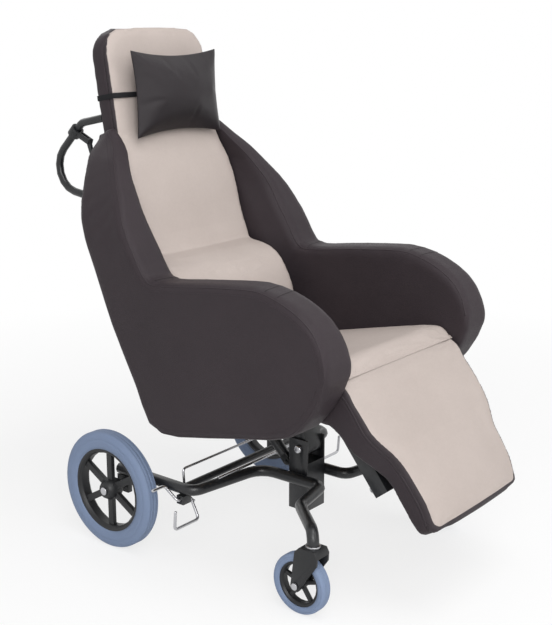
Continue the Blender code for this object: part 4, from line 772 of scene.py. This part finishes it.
# The legrest's sides and its lower edge show the brown cover, with round corners between them
hemLook = {
    "end": (-0.857, 0.227), "along": (0.495, 0.869), "into": (0, 0.869, -0.495), "width": 0.0090,
    "side": 0.0068, "corner": 0.022, "soft": 0.005, "full": 1.25, "sunk": 0.006, "turned": (-0.7, 0.3),
    "endHalf": 0.187, "waistHalf": 0.197, "waist": 0.130, "flare": 0.130,
}


def legrestEnd(look):
    return np.array(look["end"]) + np.array([rearAxle, 0])


# Half the legrest's width, which flares to the seat
def legrestHalf(far, look):
    low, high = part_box("legrest_pad")
    waist = look["endHalf"] + (look["waistHalf"] - look["endHalf"]) * np.clip(far / look["waist"], 0, 1)
    return waist + (high.x - look["waistHalf"]) * risen(far, look["waist"], look["waist"] + look["flare"])


def makeLegrestPad(look):
    piece = startPad("legrestPad", beigeLegCover, copied("legrest_pad"))
    spots = points(piece.data)
    far = (spots[:, 1:] - legrestEnd(look)) @ np.array(look["along"])
    inside = legrestHalf(far, look) - np.abs(spots[:, 0])
    besideCorner = look["corner"] + look["side"] - inside
    aboveCorner = look["corner"] + look["width"] - far
    beyond = np.hypot(np.maximum(besideCorner, 0), np.maximum(aboveCorner, 0))
    within = look["corner"] - beyond - np.minimum(np.maximum(besideCorner, aboveCorner), 0)
    edge = look["full"] * (1 - risen(within, -look["soft"], look["soft"]))
    mark(piece, edge)
    sunk = edge * risen(normals(piece.data) @ np.array(look["into"]), *look["turned"])
    setPoints(piece.data, spots + np.array(look["into"]) * (sunk * look["sunk"])[:, None])
    return settled(piece, "legrest", "legrest_pad")


# Piping in the groove between the legrest's pad and its shell
pipingLook = {
    "radius": 0.0034, "inset": 0.0022, "deep": 0.003, "probe": 0.009, "castFrom": 0.2, "low": 0.022,
    "high": 0.36, "knots": 14, "points": 120,
}


def makeLegrestPiping(look):
    surface = BVHTree.FromObject(legrestBody, bpy.context.evaluated_depsgraph_get())
    into = Vector(hemLook["into"])
    built = bmesh.new()
    for sign in sides.values():
        knots = []
        for far in np.linspace(look["low"], look["high"], look["knots"]):
            half = legrestHalf(far, hemLook)
            y, z = legrestEnd(hemLook) + np.array(hemLook["along"]) * far
            spot = Vector((sign * (half - look["probe"]), y, z)) - into * look["castFrom"]
            hit = surface.ray_cast(spot, into)[0]
            knots.append((sign * (half - look["inset"]), *(hit + into * look["deep"]).yz))
        piped(built, curvedThrough(knots, look["points"]), look["radius"])
    cords = newPiece("legrestPiping", meshFrom("legrestPiping", built), brownVinyl)
    settled(cords, "legrest")


# The legrest is round about its hinge as far as it passes under the seat's lip
swingLook = {"start": 128.0, "peak": 157.0, "stop": 200.0, "deep": 0.0049, "facing": (0.0, 0.5)}


def aroundHinge(piece):
    spots = points(piece.data)
    away = spots[:, 1:] - np.array(jointNamed["legrest_fold"]["pos_m"][1:])
    return spots, away, np.linalg.norm(away, axis=1)


def roundForSwing(piece, look):
    spots, away, far = aroundHinge(piece)
    angle = np.degrees(np.arctan2(away[:, 1], away[:, 0])) % 360
    shave = risen(angle, look["start"], look["peak"]) * (1 - risen(angle, look["peak"], look["stop"]))
    radial = away / far[:, None]
    outer = risen((normals(piece.data)[:, 1:] * radial).sum(axis=1), *look["facing"])
    spots[:, 1:] -= radial * (shave * outer * look["deep"])[:, None]
    setPoints(piece.data, spots)


# The seat's front lip hangs onto the legrest's round upper end
lipLook = {
    "deep": 0.012, "reach": 0.0955, "fade": 0.020, "slack": 0.0006, "ahead": (0.0, 0.03),
    "knuckleAbove": 0.06, "knuckleHalf": 0.2,
}


def makeSeatPad(look):
    piece = startPad("seatPad", beigeCover, copied("seat_cushion"))
    knuckle, aside, reach = aroundHinge(legrestPad)
    upper = (aside[:, 1] > look["knuckleAbove"]) & (np.abs(knuckle[:, 0]) < look["knuckleHalf"])
    knuckleRadius = reach[upper].max()
    spots, away, far = aroundHinge(piece)
    near = 1 - risen(far, look["reach"], look["reach"] + look["fade"])
    ahead = risen(-away[:, 0], *look["ahead"])
    least = np.minimum(far, knuckleRadius + look["slack"])
    drawn = np.maximum(far - near * ahead * look["deep"], least)
    spots[:, 1:] += away * (drawn / far - 1)[:, None]
    setPoints(piece.data, spots)
    mark(piece, np.zeros(len(spots)))
    return settled(piece, "shell", "seat_cushion")


makeBackPad(creaseLook)
legrestPad = makeLegrestPad(hemLook)
roundForSwing(legrestPad, swingLook)
makeLegrestPiping(pipingLook)
makeSeatPad(lipLook)
print("beige pads done")

# Head pillow: two sewn sheets filled by pressure, then set to the size of its solid
pillowLook = {
    "columns": 60, "rows": 42, "swell": 0.02, "pressure": 0.0, "volume": 0.0020, "spare": 0.01,
    "stiff": 0.2, "frames": 44, "cap": 0.2, "rounds": 10, "drawn": 0.8, "tall": 1.01, "front": 0.62,
    "backFull": 1.2, "lean": 4.5, "clear": 0.003, "fill": 0.7, "rests": (0, 0, 0),
}


def pillowSheets(width, height, look):
    built = bmesh.new()
    sheets = []
    for side in (-1, 1):
        sheet = []
        for row in range(look["rows"] + 1):
            v = 2 * row / look["rows"] - 1
            line = []
            for column in range(look["columns"] + 1):
                u = 2 * column / look["columns"] - 1
                if side == 1 and (abs(u) == 1 or abs(v) == 1):
                    line.append(sheets[0][row][column])
                    continue
                swell = look["swell"] * (1 - u * u) * (1 - v * v)
                line.append(built.verts.new((u * width / 2, side * swell, v * height / 2)))
            sheet.append(line)
        sheets.append(sheet)
    for sheet in sheets:
        for low, high in zip(sheet, sheet[1:]):
            for column in range(look["columns"]):
                built.faces.new((low[column], low[column + 1], high[column + 1], high[column]))
    return meshFrom("headPillow", built)


def makePillow(look):
    up = Vector(jointNamed["pillow_slide"]["axis"])
    inward = Vector((0, up.z, -up.y))
    low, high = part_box("head_pillow")
    depth = points(nodes["head_pillow"].data) @ np.array(inward)
    deep = depth.max() - depth.min()
    width = high.x - low.x
    height = (high.z - low.z) * look["tall"]
    piece = newPiece("headPillow", pillowSheets(width, height, look), pillowVinyl)
    flat = points(piece.data)
    puffed(piece, look)
    eased(piece, look["rounds"])
    spots = points(piece.data)
    share = flat / np.abs(flat).max(axis=0)
    for axis, other in ((0, 2), (2, 0)):  # each edge draws in as one even bow
        bow = share[:, axis] * (1 - share[:, other] ** 2)
        pull = (spots - flat)[:, axis] @ bow / (bow @ bow)
        spots[:, axis] = flat[:, axis] + bow * pull * look["drawn"]
    spots[:, 0] *= width / np.ptp(spots[:, 0])
    spots[:, 2] *= height / np.ptp(spots[:, 2])
    forward = spots[:, 1] < 0
    spots[forward, 1] *= deep * look["front"] / -spots[:, 1].min()
    spots[~forward, 1] *= deep * (1 - look["front"]) * look["backFull"] / spots[:, 1].max()
    middle = (low + high) / 2
    seat = middle + inward * (depth.max() - deep * (1 - look["front"]) - middle.dot(inward))
    turn = Matrix.Rotation(math.radians(look["lean"]) - math.atan2(up.y, up.z), 4, "X")
    place = np.array(Matrix.Translation(seat) @ turn)
    spots = spots @ place[:3, :3].T + place[:3, 3]
    beyond = np.maximum(spots @ np.array(inward) - depth.max() + look["clear"], 0)
    setPoints(piece.data, spots - beyond[:, None] * np.array(inward))
    rounder = piece.modifiers.new("rounder", "SUBSURF")
    rounder.levels = 1
    rounder.render_levels = 1
    baked(piece)
    return settled(piece, "pillow", "head_pillow")


makePillow(pillowLook)
print("pillow done")

# Elastic strap round the head
strapLook = {"edge": 0.0005, "segments": 2}
strapMesh = meshFrom("pillowStrap", copied("pillow_strap"))
strap = newPiece("pillowStrap", strapMesh, strapWebbing)
hem = strap.modifiers.new("hem", "BEVEL")
hem.width = strapLook["edge"]
hem.segments = strapLook["segments"]
baked(strap)
settled(strap, "pillow", "pillow_strap")

# Round rubber tyres with moulded grooves: shares of half the width and of the rubber's height
tyreLook = {
    "steps": 120, "groove": 0.0006, "ring": 0.0005,
    "flank": [(0.80, 0.0), (0.93, 0.16), (1.0, 0.42), (1.0, 0.50)],
    "ringLine": [(0.985, 0.53), (0.985, 0.57)],
    "shoulder": [(0.985, 0.60), (0.93, 0.74), (0.82, 0.88), (0.66, 0.965)],
    "tread": [(0.50, 0), (0.47, 1), (0.41, 1), (0.38, 0), (0.07, 0), (0.04, 1)],
}


def tyreProfile(half, outer, seat, look):
    deep = outer - seat
    left = [(half * across, seat + deep * up) for across, up in look["flank"]]
    left += [(half * across - look["ring"], seat + deep * up) for across, up in look["ringLine"]]
    left += [(half * across, seat + deep * up) for across, up in look["shoulder"]]
    left += [(half * across, outer - cut * look["groove"]) for across, cut in look["tread"]]
    return left + [(-across, radius) for across, radius in reversed(left)]


def makeTyre(name, node, rim, body):
    low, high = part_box(node)
    rimLow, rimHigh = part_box(rim)
    middle = (low + high) / 2
    outer = (high.z - low.z) / 2
    seat = (rimHigh.z - rimLow.z) / 2
    profile = tyreProfile((high.x - low.x) / 2, outer, seat, tyreLook)
    built = bmesh.new()
    rings = []
    for step in range(tyreLook["steps"]):
        turn = 2 * math.pi * step / tyreLook["steps"]
        out = Vector((0, math.sin(turn), math.cos(turn)))
        places = [middle + Vector((across, 0, 0)) + out * radius for across, radius in profile]
        rings.append([built.verts.new(place) for place in places])
    for step, ring in enumerate(rings):
        following = rings[(step + 1) % len(rings)]
        for i in range(len(profile)):
            j = (i + 1) % len(profile)
            built.faces.new((ring[i], ring[j], following[j], following[i]))
    return settled(newPiece(name, meshFrom(name, built), tyreRubber), body, node)


for side in sides:
    tail = side.lower()
    makeTyre("rearTyre" + side, "rear_tyre_" + tail, "rear_rim_" + tail, "rear_wheel_" + tail)
    makeTyre("casterTyre" + side, "caster_tyre_" + tail, "caster_hub_" + tail, "caster_wheel_" + tail)
print("tyres done")

# Hard pieces keep the shape of their solids, with eased edges and smooth rounds
hardEdge = {"width": 0.0005, "segments": 2, "sharp": math.radians(38), "flat": math.radians(0.5)}
dressed = {
    "side_panel_right", "side_panel_left", "back_shell", "legrest_shell", "back_cushion", "lumbar_cushion",
    "seat_cushion", "legrest_pad", "head_pillow", "pillow_strap", "rear_tyre_right", "rear_tyre_left",
    "caster_tyre_right", "caster_tyre_left",
}
slotOf = {part["node"]: part["material_slot"] for part in frame["record"]["subparts"]}


def makeHardPiece(node, body):
    words = node.split("_")
    name = words[0] + "".join(word.capitalize() for word in words[1:])
    built = copied(node)
    bmesh.ops.dissolve_limit(built, angle_limit=hardEdge["flat"], verts=built.verts, edges=built.edges)
    piece = newPiece(name, meshFrom(name, built), finishOf[slotOf[node]])
    softer = piece.modifiers.new("softer", "BEVEL")
    softer.width = hardEdge["width"]
    softer.segments = hardEdge["segments"]
    softer.limit_method = "ANGLE"
    softer.angle_limit = hardEdge["sharp"]
    baked(piece)
    piece.data.set_sharp_from_angle(angle=hardEdge["sharp"])
    return settled(piece, body, node)


for body, carried in frame["record"]["behaviour"]["bodies"].items():
    for node in carried:
        if node not in dressed:
            makeHardPiece(node, body)
print("hard pieces done")

# Camera, floor and light
shot = {"place": (-2.1303, -1.712, 1.263), "azimuth": -51.306, "pitch": 13.96, "lens": 65.42}
cameraData = bpy.data.cameras.new("camera")
cameraData.lens = shot["lens"]
camera = bpy.data.objects.new("camera", cameraData)
scene.collection.objects.link(camera)
camera.location = shot["place"]
turnZ = math.radians(shot["azimuth"])
dip = math.radians(shot["pitch"])
looking = Vector((-math.sin(turnZ) * math.cos(dip), math.cos(turnZ) * math.cos(dip), -math.sin(dip)))
camera.rotation_mode = "QUATERNION"
camera.rotation_quaternion = looking.to_track_quat("-Z", "Y")
scene.camera = camera

studio = {
    "floorSize": 60.0, "floorColor": (0.90, 0.90, 0.90, 1), "floorRoughness": 0.9, "nearGlow": 0.74,
    "nearEnd": 1.0, "farStart": 2.6, "sky": 0.42, "aim": (0, 0, 0.6),
    "lamps": [
        ("sideLamp", (-2.7, -2.5, 2.2), 2.0, 84.0),
        ("topLamp", (-0.5, -1.4, 3.5), 1.8, 46.0),
        ("frontLamp", (1.4, -3.3, 2.4), 2.0, 28.0),
        ("rimLamp", (0.8, 2.8, 2.8), 1.8, 14.0),
    ],
}


# Rays that show the background: from the camera, off metal and through glass
def backgroundRays(tree):
    path = add(tree, "LightPath").outputs
    shiny = sums(tree, "MAXIMUM", path["Is Glossy Ray"], path["Is Transmission Ray"])
    return sums(tree, "MAXIMUM", path["Is Camera Ray"], shiny)


floorMesh = bpy.data.meshes.new("floor")
half = studio["floorSize"] / 2
floorCorners = [(-half, -half, 0), (half, -half, 0), (half, half, 0), (-half, half, 0)]
floorMesh.from_pydata(floorCorners, [], [(0, 1, 2, 3)])
floor = bpy.data.objects.new("floor", floorMesh)
scene.collection.objects.link(floor)
floorFinish, tree, shader = newFinish("paleFloor", studio["floorRoughness"])
shader.inputs["Base Color"].default_value = studio["floorColor"]
seen = backgroundRays(tree)
glow = add(tree, "Emission", {"Color": (1, 1, 1, 1), "Strength": 1.0})
at = add(tree, "TexCoord").outputs["Object"]
apart = add(tree, "VectorMath", {0: at}, operation="LENGTH").outputs["Value"]
whiter = ranged(tree, apart, studio["nearGlow"], 1.0, studio["nearEnd"], studio["farStart"])
share = sums(tree, "MULTIPLY", seen, whiter)
both = add(tree, "MixShader", {0: share, 1: shader.outputs[0], 2: glow.outputs[0]})
under = add(tree, "NewGeometry").outputs["Backfacing"]  # open from below, for a look at the underside
clear = add(tree, "BsdfTransparent")
faced = add(tree, "MixShader", {0: under, 1: both.outputs[0], 2: clear.outputs[0]})
tree.links.new(faced.outputs[0], tree.nodes["Material Output"].inputs["Surface"])
floorMesh.materials.append(floorFinish)

world = bpy.data.worlds.new("studio")
world.use_nodes = True
scene.world = world
tree = world.node_tree
back = tree.nodes["Background"]
back.inputs["Color"].default_value = (1, 1, 1, 1)
tree.links.new(ranged(tree, backgroundRays(tree), studio["sky"], 1.0), back.inputs["Strength"])

for name, place, size, power in studio["lamps"]:
    lamp = bpy.data.lights.new(name, "AREA")
    lamp.size = size
    lamp.energy = power
    hung = bpy.data.objects.new(name, lamp)
    scene.collection.objects.link(hung)
    hung.location = place
    hung.rotation_mode = "QUATERNION"
    hung.rotation_quaternion = (Vector(studio["aim"]) - Vector(place)).to_track_quat("-Z", "Y")
scene.view_settings.view_transform = "Standard"
print("studio set")
